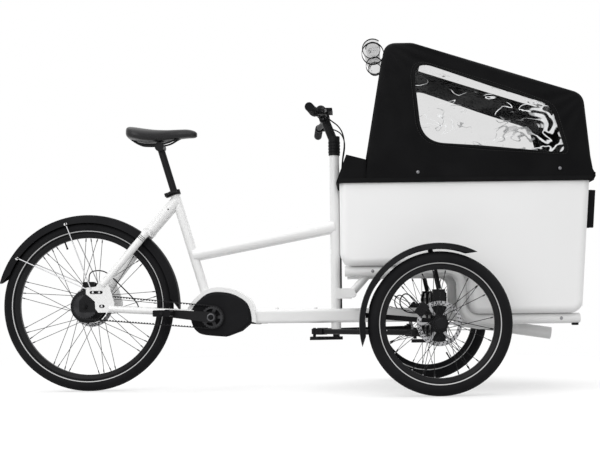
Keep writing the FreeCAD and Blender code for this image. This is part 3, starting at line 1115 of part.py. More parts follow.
# Chassis: one bent rail on each side under the box, tied to the head tube and the beam.
rail_high = d.box_shelf - d.rail_radius - d.rail_floor_gap
rail_low = d.box_floor - d.rail_radius - d.rail_floor_gap
chassis = []
for side, tag in side_names.items():
    y = side * d.rail_y
    path = [at(d.rail_rear_x, y, rail_high), at(d.rail_drop_x, y, rail_high), at(d.rail_drop_x, y, rail_low),
            at(d.rail_front_x, y, rail_low)]
    rail = tube_along(path, d.rail_bend, d.rail_radius)
    chassis.append(feature(tag + "_rail", rail))
    foot = at(d.cross_x, side * (d.rail_y - d.rail_radius), d.cross_z)
    strut_blank = rod(tag + "_strut_blank", foot, at(d.strut_top_x, side * (d.rail_y - d.rail_radius),
                                                     rail_high), "strut_radius")
    tools = feature(tag + "_strut_tools", Part.makeCompound([rail.copy()]))
    cross_tool = rod(
        tag + "_cross_tool", at(d.cross_x, -d.rail_y, d.cross_z), at(d.cross_x, d.rail_y, d.cross_z),
        "cross_radius")
    chassis.append(cut(tag + "_strut", cut(tag + "_strut_cut", strut_blank, tools), cross_tool))
    front = rod(
        tag + "_front_cross_blank", at(d.front_cross_x, 0, d.front_cross_z),
        at(d.front_cross_x, y, d.front_cross_z), "front_cross_radius")
    tool = fuse(tag + "_front_cross_tool", [feature(tag + "_rail_tool", rail.copy()), beam_body,
                                            rod(tag + "_step_tool", step_start + step_back, step_end,
                                                "step_radius")])
    chassis.append(cut(tag + "_front_cross", front, tool))
    gusset = [(d.head_x, d.cross_z - d.gusset_height / 2), (d.cross_x, d.cross_z - d.gusset_height / 2),
              (d.cross_x, d.cross_z + d.gusset_height / 2), (d.head_x, d.cross_z + d.gusset_height / 2)]
    g_in, g_out = side * d.gusset_offset, side * (d.gusset_offset + d.gusset_plate)
    blank = side_plate(tag + "_gusset_blank", gusset, [], "gusset_plate", max(g_in, g_out))
    tool = fuse(tag + "_gusset_tool", [rod(tag + "_head_tool", head_low, head_high, "head_radius"),
                                       cross_tool])
    chassis.append(cut(tag + "_gusset", blank, tool))
    plug = at(d.rail_front_x, y, rail_low)
    chassis.append(rod(tag + "_rail_plug", plug, plug + Vector(d.rail_plug_length, 0, 0),
                       "rail_plug_radius"))
chassis.append(rod("cross_tube", at(d.cross_x, -d.rail_y, d.cross_z), at(d.cross_x, d.rail_y, d.cross_z),
                   "cross_radius"))
keep("cargo_chassis", group("cargo_chassis", chassis))

# Cargo box: one stepped tub, open on top, with a door opening in its front, which leans forward.
def front_wall(z, out):
    # where the front face stands at a height, moved outwards by a distance square to it
    return d.box_front_x + (z - d.box_floor) * math.tan(door_lean) + out / math.cos(door_lean)


def leaned(shape):
    shape.rotate(at(d.box_front_x, 0, d.box_floor), Vector(0, 1, 0), d.box_front_lean)
    return shape


def tub(inset, top):
    rear, low = d.box_rear_x + inset, d.box_floor + inset
    outline = [(rear, top), (rear, d.box_shelf + inset), (d.box_step_x + inset, d.box_shelf + inset),
               (d.box_step_x + inset, low), (front_wall(low, -inset), low), (front_wall(top, -inset), top)]
    corner = d.box_corner - inset
    radii = [0, corner, d.box_step_radius + inset, d.box_step_radius - inset, corner, 0]
    half = d.box_half_width - inset
    solid = side_prism(rounded(outline, radii), half, -half)
    edges = []
    for edge in solid.Edges:
        low = min(v.Z for v in edge.Vertexes)
        flat = max(abs(abs(v.Y) - half) for v in edge.Vertexes)
        high = max(v.Z for v in edge.Vertexes)
        if flat < d.running_gap and not (abs(low - top) < d.running_gap and abs(high - top) < d.running_gap):
            edges.append(edge)
    return solid.makeFillet(d.box_side_radius - inset, edges)


shell = tub(0, d.box_top).cut(tub(d.box_wall, d.box_top + d.overrun))
opening_low, opening_high = d.door_low - d.door_gap, d.door_high + d.door_gap
opening_half = d.door_half_width + d.door_gap
opening = Part.makeBox(d.box_wall + 2 * d.overrun, 2 * opening_half, opening_high - opening_low,
                       at(d.box_front_x - d.box_wall - d.overrun, -opening_half, opening_low))
keep("cargo_box", feature("cargo_box", shell.cut(leaned(opening))))

# Door: a plate in the opening with a flange over the wall, barrels on the left.
plate = Part.makeBox(d.door_plate, 2 * d.door_half_width, d.door_high - d.door_low,
                     at(d.box_front_x - d.door_plate, -d.door_half_width, d.door_low))
flange = Part.makeBox(d.door_flange_plate + d.fit_gap, 2 * d.door_half_width + d.door_flange,
                      d.door_high - d.door_low + d.door_flange,
                      at(d.box_front_x, -d.door_half_width - d.door_flange, d.door_low - d.door_flange / 2))
relief = Part.makeBox(d.fit_gap, 2 * d.door_half_width + 4 * d.door_flange,
                      d.door_high - d.door_low + 2 * d.door_flange,
                      at(d.box_front_x, -d.door_half_width - 2 * d.door_flange, d.door_low - d.door_flange))
middle = Part.makeBox(
    d.fit_gap, 2 * d.door_half_width, d.door_high - d.door_low,
    at(d.box_front_x, -d.door_half_width, d.door_low))
door_face = d.box_front_x + d.fit_gap + d.door_flange_plate
shaft_hole = Part.makeCylinder(d.latch_shaft + d.running_gap, d.door_plate + d.door_flange_plate
                               + 4 * d.overrun,
                               at(d.box_front_x - d.door_plate - 2 * d.overrun, -d.latch_y, d.latch_z),
                               Vector(1, 0, 0))
door = plate.fuse([flange.cut(relief), middle]).removeSplitter().cut(shaft_hole)
axis_x, axis_y = d.box_front_x + d.hinge_axis_out, d.door_half_width + d.hinge_axis_side
hinge_pieces = []
for order, z in enumerate((d.hinge_low_z, d.hinge_high_z)):
    half = d.hinge_half_length
    barrel = Part.makeCylinder(d.hinge_radius, half, at(axis_x, axis_y, z), up)
    leaf = Part.makeBox(d.hinge_leaf, axis_y - d.door_half_width + d.hinge_leaf_width, half,
                        at(door_face, d.door_half_width - d.hinge_leaf_width, z))
    reach = Part.makeBox(axis_x - door_face, d.hinge_leaf, half, at(door_face, axis_y - d.hinge_radius, z))
    bore = Part.makeCylinder(d.hinge_bore, half + 2 * d.overrun, at(axis_x, axis_y, z - d.overrun), up)
    leaf_cut = Part.makeBox(d.hinge_leaf + d.overrun, 2 * d.hinge_leaf_width, half,
                            at(door_face, axis_y - d.hinge_radius + d.hinge_leaf, z))
    door = door.fuse([barrel, leaf.cut(leaf_cut), reach]).cut(bore).removeSplitter()
    fixed_low = z - d.hinge_gap - half
    fixed = Part.makeCylinder(d.hinge_radius, half, at(axis_x, axis_y, fixed_low), up)
    foot_x = d.box_front_x + d.fit_gap
    wall_leaf = Part.makeBox(d.hinge_leaf, d.hinge_leaf_width, half,
                             at(foot_x, axis_y + d.hinge_radius - d.hinge_leaf, fixed_low))
    wall_reach = Part.makeBox(axis_x - foot_x, d.hinge_leaf, half,
                              at(foot_x, axis_y + d.hinge_radius - d.hinge_leaf, fixed_low))
    pin = Part.makeCylinder(d.hinge_pin, 2 * half + d.hinge_gap, at(axis_x, axis_y, fixed_low), up)
    hinge = fixed.fuse([wall_leaf, wall_reach, pin]).removeSplitter()
    hinge_pieces.append(feature("door_hinge_%d" % order, leaned(hinge)))
keep("front_door", feature("front_door", leaned(door)))
keep("door_hinges", group("door_hinges", hinge_pieces))
half_w, half_h = d.latch_half_width, d.latch_half_height
handle_x = door_face + d.latch_stand
handle = front_plate("latch_handle", rounded([(-d.latch_y - half_w, d.latch_z - half_h),
                                              (-d.latch_y + half_w, d.latch_z - half_h),
                     (-d.latch_y + half_w, d.latch_z + half_h), (-d.latch_y - half_w, d.latch_z + half_h)],
                                             d.latch_round), [],
                     "latch_plate", handle_x)
cam_x = d.box_front_x - d.door_plate - d.fit_gap - d.latch_cam_plate
shaft = rod("latch_shaft_rod", at(cam_x, -d.latch_y, d.latch_z), at(handle_x, -d.latch_y, d.latch_z),
            "latch_shaft")
cam = document.addObject("Part::Box", "latch_cam_block")
cam.setExpression("Length", cell("latch_cam_plate"))
cam.Width = d.latch_cam + d.latch_shaft
cam.Height = 2 * d.latch_shaft
cam.Placement.Base = at(cam_x, -d.latch_y - d.latch_cam, d.latch_z - d.latch_shaft)
document.recompute()
latch = handle.Shape.fuse([shaft.Shape, cam.Shape]).removeSplitter()
keep("door_latch", feature("door_latch", leaned(latch)))


# Cushions on the shelf and against the rear wall.
def cushion(x0, x1, z0, z1):
    half = d.box_half_width - d.box_wall - d.cushion_side_gap
    block = Part.makeBox(x1 - x0, 2 * half, z1 - z0, at(x0, -half, z0))
    return block.makeFillet(d.cushion_round, block.Edges)


seat_z = d.box_shelf + d.box_wall + d.fit_gap
back_x = d.box_rear_x + d.box_wall + d.fit_gap
seat_x = back_x + d.box_corner
seat_pad = cushion(seat_x, seat_x + d.cushion_length, seat_z, seat_z + d.cushion_height)
back_z = seat_z + d.cushion_height + d.cushion_gap
back_pad = cushion(back_x, back_x + d.back_depth, back_z, back_z + d.back_height)
keep("bench_cushions", feature("bench_cushions", Part.makeCompound([seat_pad, back_pad])))


# Hood: a fabric shell over the box with leaning sides, open behind and below.
def hood_solid(inset, extra):
    rear = d.box_rear_x - d.hood_apron_rear + inset
    out = d.hood_front_gap + d.hood_shell - inset
    low, high = d.hood_low - extra, d.hood_top - inset
    front_low, front = front_wall(low, out), front_wall(d.box_top, out)
    back_x = d.box_rear_x + d.hood_apron_front + inset
    apron = d.hood_apron_z - inset
    outline = [(rear, low), (front_low, low), (front, d.box_top),
               (front - d.hood_front_lean, d.hood_front_top - inset), (back_x + d.hood_flat_end, high),
               (back_x + d.hood_rear_lean, high), (back_x, apron),
               (rear + d.hood_apron_lean, apron + d.hood_apron_rise)]
    radii = [0, 0, 0, d.hood_corner - inset, d.hood_corner, d.hood_rear_round - inset, 0, 0]
    lower = d.box_half_width + d.hood_gap + d.hood_shell - inset
    upper = lower - d.hood_top_inset
    wall = side_prism(rounded(outline, radii), 2 * lower, -2 * lower)
    section = [(-lower, low), (lower, low), (lower, d.box_top), (upper, high), (-upper, high),
               (-lower, d.box_top)]
    wires = []
    for x in (rear - d.overrun, front + d.overrun):
        wires.append(Part.makePolygon([at(x, y, z) for y, z in section + section[:1]]))
    return wall.common(Part.makeLoft(wires, True, True))


def hood_rear_opening():
    # the rolled-up rear curtain leaves the back open
    rear = d.box_rear_x - d.hood_apron_rear
    half = d.box_half_width - d.hood_top_inset - d.hood_edge
    low = d.hood_apron_z + d.hood_edge
    depth = d.hood_apron_front + 2 * d.hood_rear_lean
    return Part.makeBox(depth, 2 * half, d.hood_top - d.hood_corner - low, at(rear, -half, low))


hood_length = d.box_front_x - d.box_rear_x
hood_rise = d.hood_top - d.box_top
window_points = [(d.box_rear_x + sx * hood_length, d.box_top + sz * hood_rise) for sx, sz in window_shares]
window_rounds = [d.window_round_rear_low, d.window_round_rear_top, d.window_round_front_top,
                 d.window_round_front_low]
side_hole = side_prism(rounded(window_points, window_rounds), 2 * d.box_half_width, -2 * d.box_half_width)
roof_start = d.box_rear_x + d.hood_apron_front + d.hood_flat_end + d.roof_window_start
roof_end = front_wall(d.box_top, 0) - d.roof_window_end
roof_hole = Part.makeBox(roof_end - roof_start, 2 * d.roof_window_half, d.hood_top - d.front_window_high,
                         at(roof_start, -d.roof_window_half, d.front_window_high))
front_hole = Part.makeBox(2 * d.roof_window_end, 2 * d.roof_window_half,
                          d.front_window_high - d.front_window_low,
                          at(roof_end, -d.roof_window_half, d.front_window_low))
column_room = Part.makeCylinder(d.head_radius + d.column_room, d.hood_top, at(d.head_x, 0, 0), up)
hood = hood_solid(0, 0).cut(hood_solid(d.hood_shell, d.overrun)).cut(hood_rear_opening()).cut(column_room)
for hole in (side_hole, roof_hole, front_hole):
    hood = hood.cut(hole)
keep("hood_cover", feature("hood_cover", hood))
film = hood_solid(d.window_inset, 0).cut(hood_solid(d.window_inset + d.window_sheet, d.overrun))
panes = []
for hole in (side_hole, roof_hole, front_hole):
    panes += film.common(hole).Solids
keep("hood_windows", feature("hood_windows", Part.makeCompound(panes)))


# Bows inside the hood.
def bow(x_low, x_high, z_high, inset):
    low_y = d.box_half_width - d.box_wall - d.bow_gap - d.bow_radius
    high_y = d.box_half_width - d.hood_top_inset * (z_high - d.box_top) / hood_rise - inset
    foot = d.box_top - d.box_lip * 3
    points = [at(x_low, -low_y, foot), at(x_low, -low_y, d.box_top), at(x_high, -high_y, z_high),
              at(x_high, high_y, z_high), at(x_low, low_y, d.box_top), at(x_low, low_y, foot)]
    return tube_along(points, d.bow_bend, d.bow_radius)


bow_inset = d.hood_shell + d.bow_gap + d.bow_radius * 2
bow_rear = d.box_rear_x + d.hood_apron_front
rear_bow = bow(bow_rear + d.bow_radius * 4, bow_rear + d.hood_flat_end - d.bow_radius,
               d.hood_top - bow_inset, bow_inset)
bow_front = front_wall(d.box_top, -d.box_wall - d.bow_gap) - d.box_side_radius
front_bow = bow(bow_front, bow_front - d.hood_front_lean - d.hood_corner, d.hood_front_top - bow_inset,
                bow_inset)
keep("hood_bows", feature("hood_bows", Part.makeCompound([rear_bow, front_bow])))
roll_z = d.hood_top - d.roll_radius
rear_slope = d.hood_rear_lean / (d.hood_top - d.hood_apron_z)
rear_edge = d.box_rear_x + d.hood_apron_front + rear_slope * (roll_z - d.hood_apron_z)
roll_x = rear_edge - (d.roll_radius + d.fit_gap) * math.hypot(1, rear_slope)
roll_half = d.roll_half_length
roll_big = hollow("curtain_roll_big", at(roll_x, -roll_half, roll_z), at(roll_x, roll_half, roll_z),
                  "roll_radius",
                  "roll_bore")
roll_spacing = d.roll_radius + d.roll_small_radius + d.fit_gap
small_x, small_z = polar(roll_spacing, d.roll_fall_angle)
small_x, small_z = roll_x + small_x, roll_z + small_z
roll_small = hollow("curtain_roll_small", at(small_x, -roll_half, small_z), at(small_x, roll_half, small_z),
                    "roll_small_radius", "roll_small_bore")
keep("rolled_curtain", group("rolled_curtain", [roll_big, roll_small]))

# Steering: steerer with bearing seats, steering arm with two studs, stem.
b_gap = d.head_bore - d.running_gap
column = Placement(at(d.head_x, 0, 0), Rotation())
r = d.steerer_radius
steerer = turned("steerer_shaft", [(0, d.steerer_low), (r, d.steerer_low),
                                   (r, d.head_low + d.bearing_flange),
                                   (b_gap, d.head_low + d.bearing_flange),
                 (b_gap, d.head_low + d.bearing_length), (r, d.head_low + d.bearing_length),
                                   (r, d.head_high - d.bearing_length),
                 (b_gap, d.head_high - d.bearing_length), (b_gap, d.head_high - d.bearing_flange),
                                   (r, d.head_high - d.bearing_flange),
                 (r, d.steerer_high), (0, d.steerer_high)], column)
pit_end = d.head_x - d.steer_arm_length
wide = d.pitman_half_width
end_wide = d.pitman_end_half_width
pit = [
    (d.head_x, wide), (pit_end + d.pitman_end_length, end_wide), (pit_end - d.pitman_end_length, end_wide),
    (pit_end - d.pitman_end_length, -end_wide), (pit_end + d.pitman_end_length, -end_wide),
    (d.head_x, -wide), (d.head_x + d.steerer_radius + d.pitman_plate, 0, d.head_x, wide)]
pit_face = Part.Face(Part.Wire([item.toShape() for item in edges_of(pit)]))
pitman = pit_face.extrude(up * d.pitman_plate)
pitman.Placement = Placement(at(0, 0, d.steerer_low), Rotation())
pitman = pitman.cut(Part.makeCylinder(r, d.pitman_plate, at(d.head_x, 0, d.steerer_low), up))
studs = [
    Part.makeCylinder(d.rod_stud_radius, d.stud_height,
    at(pit_end, side * d.rod_stud_offset, d.steerer_low + d.pitman_plate), up) for side in side_names]
steering_arm = feature("steering_arm_plate", pitman.fuse(studs).removeSplitter())
keep("steerer", group("steerer", [steerer, steering_arm]))
sleeve_low = d.head_high + d.stem_gap
sleeve = rod("stem_sleeve", at(d.head_x, 0, sleeve_low), at(d.head_x, 0, d.stem_high), "stem_radius")
neck = rod("stem_neck", at(d.head_x, 0, d.stem_high - d.stem_radius), at(d.bar_x, 0, d.bar_z),
           "stem_arm_radius")
clamp = rod(
    "stem_clamp", at(d.bar_x, -d.clamp_half_width, d.bar_z), at(d.bar_x, d.clamp_half_width, d.bar_z),
    "clamp_radius")
stem_bores = fuse("stem_bores", [rod("stem_steerer_bore", at(d.head_x, 0, sleeve_low - d.overrun),
                                     at(d.head_x, 0, d.steerer_high), "steerer_radius"),
                                 rod("stem_bar_bore", at(d.bar_x, -d.bar_mid_y, d.bar_z),
                                     at(d.bar_x, d.bar_mid_y, d.bar_z), "bar_radius")])
keep("stem", cut("stem", fuse("stem_blank", [sleeve, neck, clamp]), stem_bores))

bar_points = [at(d.bar_end_x, -d.bar_end_y, d.bar_end_z), at(d.bar_bend_x, -d.bar_bend_y, d.bar_bend_z),
              at(d.bar_x, -d.bar_mid_y, d.bar_z),
              at(d.bar_x, d.bar_mid_y, d.bar_z), at(d.bar_bend_x, d.bar_bend_y, d.bar_bend_z),
              at(d.bar_end_x, d.bar_end_y, d.bar_end_z)]
keep("handlebar", feature("handlebar", tube_along(bar_points, d.bar_bend, d.bar_radius)))
grip_pieces, mount_pieces, hose_starts = [], [], {}
for side, tag in side_names.items():
    end = at(d.bar_end_x, side * d.bar_end_y, d.bar_end_z)
    inner = at(d.bar_bend_x, side * d.bar_bend_y, d.bar_bend_z)
    along = (inner - end).normalize()

    def sleeve_on_bar(start, length, radius):
        run = along * d.overrun
        blank = Part.makeCylinder(radius, length, start, along)
        return blank.cut(Part.makeCylinder(d.bar_radius + d.running_gap, length + 2 * d.overrun, start - run,
                                           along))

    grip_length = d.grip_length if side < 0 else d.grip_length + d.twist_gap + d.twist_length
    tip = Part.makeCylinder(d.grip_radius, d.grip_end, end - along * (d.grip_end + d.running_gap), along)
    grip = sleeve_on_bar(end - along * d.running_gap, grip_length, d.grip_radius).fuse(tip).removeSplitter()
    grip_pieces.append(feature(tag + "_grip", grip))
    twist_at = d.grip_length + d.twist_gap
    if side < 0:
        keep(
            "twist_shifter",
            feature("twist_shifter", sleeve_on_bar(end + along * twist_at, d.twist_length, d.twist_radius)))
    mount_at = twist_at + d.twist_length + d.mount_gap
    start = end + along * mount_at
    ahead = Vector(1, 0, 0)
    middle = start + along * (d.mount_width / 2)
    pivot = middle + ahead * d.lever_forward
    arm = Part.makeBox(d.mount_reach, d.mount_width, 2 * d.mount_half_height)
    arm.Placement = Placement(
        middle + ahead * d.bar_radius - Vector(0, d.mount_width / 2, d.mount_half_height), Rotation())
    slot = Part.makeCylinder(d.lever_boss_radius + d.overrun, 2 * (d.lever_boss_half_height + d.lever_gap),
                             pivot - up * (d.lever_boss_half_height + d.lever_gap), up)
    ring = sleeve_on_bar(start, d.mount_width, d.mount_radius)
    pin = Part.makeCylinder(d.lever_pivot_radius, 2 * d.mount_half_height, pivot - up * d.mount_half_height,
                            up)
    cylinder_block = Part.makeCylinder(d.mount_half_height, d.mount_depth,
                                       middle + ahead * (d.mount_radius + d.mount_half_height), along)
    block_end = middle + ahead * (d.mount_radius + d.mount_half_height) + along * (d.mount_depth + d.fit_gap)
    hose_starts[side] = block_end
    bar_hole = Part.makeCylinder(d.bar_radius + d.running_gap, 4 * d.mount_depth,
                                 start - along * d.mount_depth, along)
    mount = ring.fuse([arm.cut(bar_hole), cylinder_block]).cut(slot).fuse(pin).removeSplitter()
    mount_pieces.append(feature(tag + "_lever_mount", mount))
    first = pivot - along * d.lever_first + ahead * d.lever_out
    last = pivot - along * d.lever_length + ahead * d.lever_out - up * d.lever_fall
    blade = tube_along([pivot, first, last], d.mount_width, d.lever_radius)
    boss = Part.makeCylinder(d.lever_boss_radius, 2 * d.lever_boss_half_height,
                             pivot - up * d.lever_boss_half_height, up)
    hole = Part.makeCylinder(d.lever_pivot_radius + d.running_gap, 4 * d.lever_boss_half_height,
                             pivot - up * 2 * d.lever_boss_half_height, up)
    ball = Part.makeSphere(d.lever_radius * 3 / 2, last)
    keep(tag + "_brake_lever", feature(tag + "_brake_lever",
                                       blade.fuse([boss, ball]).cut(hole).removeSplitter()))
keep("grips", group("grips", grip_pieces))
bell_along = (at(d.bar_x, -d.bar_mid_y, d.bar_z) - at(d.bar_bend_x, -d.bar_bend_y, d.bar_bend_z)).normalize()
bell_spot = at(d.bar_bend_x, -d.bar_bend_y, d.bar_bend_z) + bell_along * (d.bar_bend_y - d.bell_at)
strap = Part.makeCylinder(d.mount_radius, d.bell_clamp_width, bell_spot, bell_along)
strap = strap.cut(Part.makeCylinder(d.bar_radius + d.running_gap, d.bell_clamp_width + 2 * d.overrun,
                                    bell_spot - bell_along * d.overrun, bell_along))
dome_low = bell_spot + bell_along * (d.bell_clamp_width / 2) + up * (d.mount_radius - d.fit_gap)
dome = Part.makeSphere(d.bell_radius, dome_low, up, 0, 90, 360)
mount_pieces.append(feature("bell", strap.fuse(dome).removeSplitter()))
display_z = d.bar_z + d.clamp_radius + d.fit_gap
screen = document.addObject("Part::Box", "display_case")
screen.setExpression("Length", cell("display_length"))
screen.setExpression("Width", cell("display_width"))
screen.setExpression("Height", cell("display_height"))
screen.Placement.Base = at(d.bar_x - d.display_length / 2, -d.display_width / 2, display_z)
mount_pieces.append(screen)
keep("bar_controls", group("bar_controls", mount_pieces))

# Brake hoses: from each lever mount forward and down, then along the head tube's front to the beam.
cable_pieces = []
for side, start in hose_starts.items():
    y = side * d.cable_side
    reach = d.head_radius + d.cable_radius + d.fit_gap
    run_x = d.head_x + math.sqrt(reach ** 2 - y ** 2)
    low = d.beam_z + d.beam_height / 2 + d.fit_gap
    inward = Vector(0, -side, 0)
    points = [start, start + inward * d.cable_first, at(d.cable_forward, side * d.cable_spread,
                                                        d.head_high + d.cable_crest_rise),
              at(run_x, y, d.head_high - d.cable_join_drop), at(run_x, y, low)]
    cable_pieces.append(tube_along(points, d.cable_bend, d.cable_radius))
keep("control_cables", feature("control_cables", Part.makeCompound(cable_pieces)))

# Seat.
rear_way = Vector(-seat_along.z, 0, seat_along.x)
ring = Part.makeCylinder(d.collar_radius, d.collar_height, collar_start, seat_along)
ring = ring.cut(Part.makeCylinder(d.seat_tube_radius + d.running_gap, d.collar_height + 2 * d.overrun,
                                  collar_start - seat_along * d.overrun, seat_along))
ear = Part.makeBox(d.collar_ear_length, 2 * d.collar_ear_half_width, d.collar_height)
ear.Placement = Placement(
    collar_start + rear_way * (d.collar_radius - d.overrun / 2) + Vector(0, d.collar_ear_half_width, 0),
    Rotation(rear_way, Vector(0, -1, 0), seat_along, "XYZ"))
ear_hole = Part.makeCylinder(d.seat_tube_radius + d.running_gap, d.collar_height + 2 * d.overrun,
                             collar_start - seat_along * d.overrun, seat_along)
keep("seat_clamp", feature("seat_clamp", ring.fuse(ear).cut(ear_hole).removeSplitter()))
qr_middle = collar_start + seat_along * (
    d.collar_height / 2) + rear_way * (d.collar_radius + d.collar_ear_length / 2)
qr_axis = qr_middle - Vector(0, d.collar_ear_half_width + d.qr_gap + d.qr_boss_radius, 0)
boss = Part.makeCylinder(d.qr_boss_radius, 2 * d.qr_boss_half_height,
                         qr_axis - seat_along * d.qr_boss_half_height, seat_along)
outward = Vector(0, -1, 0)
lever_points = [qr_axis, qr_axis - rear_way * d.collar_ear_length + outward * d.collar_ear_length,
                qr_axis - rear_way * d.qr_length + outward * d.collar_ear_length]
keep(
    "qr_lever",
    feature("qr_lever",
    boss.fuse(tube_along(lever_points, d.qr_boss_radius, d.qr_radius)).removeSplitter()))
post_low = seat_axis(d.seat_tube_top_z) - seat_along * d.post_low
post_top = post_low + seat_along * d.post_length
post = rod("post_tube", post_low, post_top, "post_radius")
head = rod(
    "post_head", post_top - Vector(0, d.post_head_half_length, 0),
    post_top + Vector(0, d.post_head_half_length, 0), "post_head_radius")
rail_z = post_top.z
saddle_low = d.saddle_top_z - d.saddle_depth
rear_x = d.saddle_rear_x
sections = []
steps = saddle_width_shares
for share, width_share in steps:
    x = rear_x + share * d.saddle_length
    wide = d.saddle_half_width * width_share
    wave = (1 - math.cos(2 * math.pi * min(1, share / saddle_wave_share))) / 2
    top = d.saddle_top_z - d.saddle_dip * wave - d.saddle_rise * share
    low = saddle_low + d.saddle_rise * share + (d.saddle_depth / 3) * share
    shoulder = top - d.saddle_crown
    crown = Part.Arc(at(x, -wide, shoulder), at(x, 0, top), at(x, wide, shoulder)).toShape()
    base = wide - d.saddle_base_inset * width_share
    lines = [Part.LineSegment(at(x, wide, shoulder), at(x, base, low)).toShape(),
             Part.LineSegment(at(x, base, low), at(x, -base, low)).toShape(),
             Part.LineSegment(at(x, -base, low), at(x, -wide, shoulder)).toShape()]
    sections.append(Part.Wire([crown] + lines))
saddle = Part.makeLoft(sections, True, False)
rail_low = rail_z + d.post_head_radius + d.saddle_rail_radius + d.fit_gap
rails = []
for side in side_names:
    y = side * d.saddle_rail_y
    half = d.saddle_rail_half_length
    rails.append(Part.makeCylinder(d.saddle_rail_radius, 2 * half, Vector(post_top.x - half, y, rail_low),
                                   Vector(1, 0, 0)))
keep("seat_post", fuse("seat_post", [post, head]))
keep("saddle", feature("saddle", Part.makeCompound([saddle] + rails)))

document.recompute()
os.makedirs("parts", exist_ok=True)
problems = []
for thing in document.Objects:
    if "Invalid" in thing.State or "Error" in thing.State:
        problems.append(thing.Name)
for label, thing in nodes.items():
    if thing.Shape.isNull() or not thing.Shape.isValid():
        problems.append(label + " shape")
    if not thing.Shape.Solids:
        problems.append(label + " has no solid")
print("nodes", len(nodes), "problems", problems)
if problems:
    raise RuntimeError("not written: " + ", ".join(problems))
for label, thing in nodes.items():
    thing.Shape.exportStep("parts/%s.step" % label)
box = FreeCAD.BoundBox()
for thing in nodes.values():
    box.add(thing.Shape.BoundBox)
print("size", [round(v) for v in (box.XMin, box.XMax, box.YMin, box.YMax, box.ZMin, box.ZMax)])
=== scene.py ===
import math
import bmesh
import bpy
import numpy as np
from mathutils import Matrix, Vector


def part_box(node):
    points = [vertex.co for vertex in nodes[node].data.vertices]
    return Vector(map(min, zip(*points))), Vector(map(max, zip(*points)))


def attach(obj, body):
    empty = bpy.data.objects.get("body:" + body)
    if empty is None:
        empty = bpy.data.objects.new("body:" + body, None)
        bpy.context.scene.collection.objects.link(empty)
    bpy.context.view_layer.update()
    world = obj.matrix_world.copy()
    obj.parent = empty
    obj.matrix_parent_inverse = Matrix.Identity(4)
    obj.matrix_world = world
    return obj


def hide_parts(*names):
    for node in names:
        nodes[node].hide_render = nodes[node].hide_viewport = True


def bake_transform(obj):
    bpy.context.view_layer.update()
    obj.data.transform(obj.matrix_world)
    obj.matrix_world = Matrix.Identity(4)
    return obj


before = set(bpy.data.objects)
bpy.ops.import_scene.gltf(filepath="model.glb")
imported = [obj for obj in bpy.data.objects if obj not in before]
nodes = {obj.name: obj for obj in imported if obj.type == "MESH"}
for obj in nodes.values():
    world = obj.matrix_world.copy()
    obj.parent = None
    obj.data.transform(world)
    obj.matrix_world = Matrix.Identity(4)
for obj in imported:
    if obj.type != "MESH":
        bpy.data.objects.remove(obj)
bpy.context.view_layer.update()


def middleOf(node):
    low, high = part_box(node)
    return (low + high) / 2


rearAxle = middleOf("rear_tyre")
bothSides = (("right", -1), ("left", 1))
print("frame loaded, wheelbase", round(middleOf("right_front_tyre").x - rearAxle.x, 4))


def fromAxle(x, y, z):
    # a place measured from the rear axle's foot on the ground
    return np.array([rearAxle.x + x, y, z])


def addObject(name, data):
    item = bpy.data.objects.new(name, data)
    bpy.context.scene.collection.objects.link(item)
    return item


# camera: level with the axles, looking square at the right side
cameraSet = dict(
    ahead=1.081, away=4.044, height=0.332, focalPixels=1043, imageWidth=600, imageHeight=450, vanishX=368,
    vanishY=302, roll=0.7, sensor=36, clipEnd=100)


def makeCamera(c):
    data = bpy.data.cameras.new("camera")
    data.sensor_width = c["sensor"]
    data.lens = c["focalPixels"] * c["sensor"] / c["imageWidth"]
    data.shift_x = (c["imageWidth"] / 2 - c["vanishX"]) / c["imageWidth"]
    data.shift_y = (c["vanishY"] - c["imageHeight"] / 2) / c["imageWidth"]
    data.clip_end = c["clipEnd"]
    camera = addObject("camera", data)
    camera.location = (rearAxle.x + c["ahead"], -c["away"], c["height"])
    camera.rotation_euler = (math.radians(90), math.radians(c["roll"]), 0)
    bpy.context.scene.camera = camera


makeCamera(cameraSet)


# node trees
def plug(tree, node, inputs):
    # each input takes a link, a number or a colour
    for socket, value in inputs.items():
        if isinstance(value, bpy.types.NodeSocket):
            tree.links.new(value, node.inputs[socket])
        else:
            node.inputs[socket].default_value = value
    return node


def addNode(tree, kind, inputs=None, **options):
    node = tree.nodes.new("ShaderNode" + kind)
    for option, value in options.items():
        setattr(node, option, value)
    return plug(tree, node, inputs or {})


def newFinish(name):
    material = bpy.data.materials.new(name)
    material.use_nodes = True
    return material, material.node_tree, material.node_tree.nodes["Principled BSDF"]


def mathOf(tree, operation, *values):
    return addNode(tree, "Math", dict(enumerate(values)), operation=operation).outputs[0]


def times(tree, *values):
    return mathOf(tree, "MULTIPLY", *values)


def rangeOf(tree, value, low, high, fromLow=0.3, fromHigh=0.7, **options):
    inputs = {"Value": value, "From Min": fromLow, "From Max": fromHigh, "To Min": low, "To Max": high}
    return addNode(tree, "MapRange", inputs, **options).outputs["Result"]


def seenRay(tree):
    # one where a camera, glossy or transmission ray looks, else zero
    path = addNode(tree, "LightPath").outputs
    direct = mathOf(tree, "MAXIMUM", path["Is Camera Ray"], path["Is Glossy Ray"])
    return mathOf(tree, "MAXIMUM", direct, path["Is Transmission Ray"])


# light: an even white room, one broad lamp above and one beside the camera
lightSet = dict(
    room=0.95, aim=(0, 0, 0.5), floorSize=9.0, floorGrey=0.5, nearFade=1.3, farFade=2.6,
    lamps={"topLamp": (56, 4.0, (0, 0, 3.6)), "keyLamp": (46, 3.0, (-1.6, -3.4, 2.6))})  # power, size, place


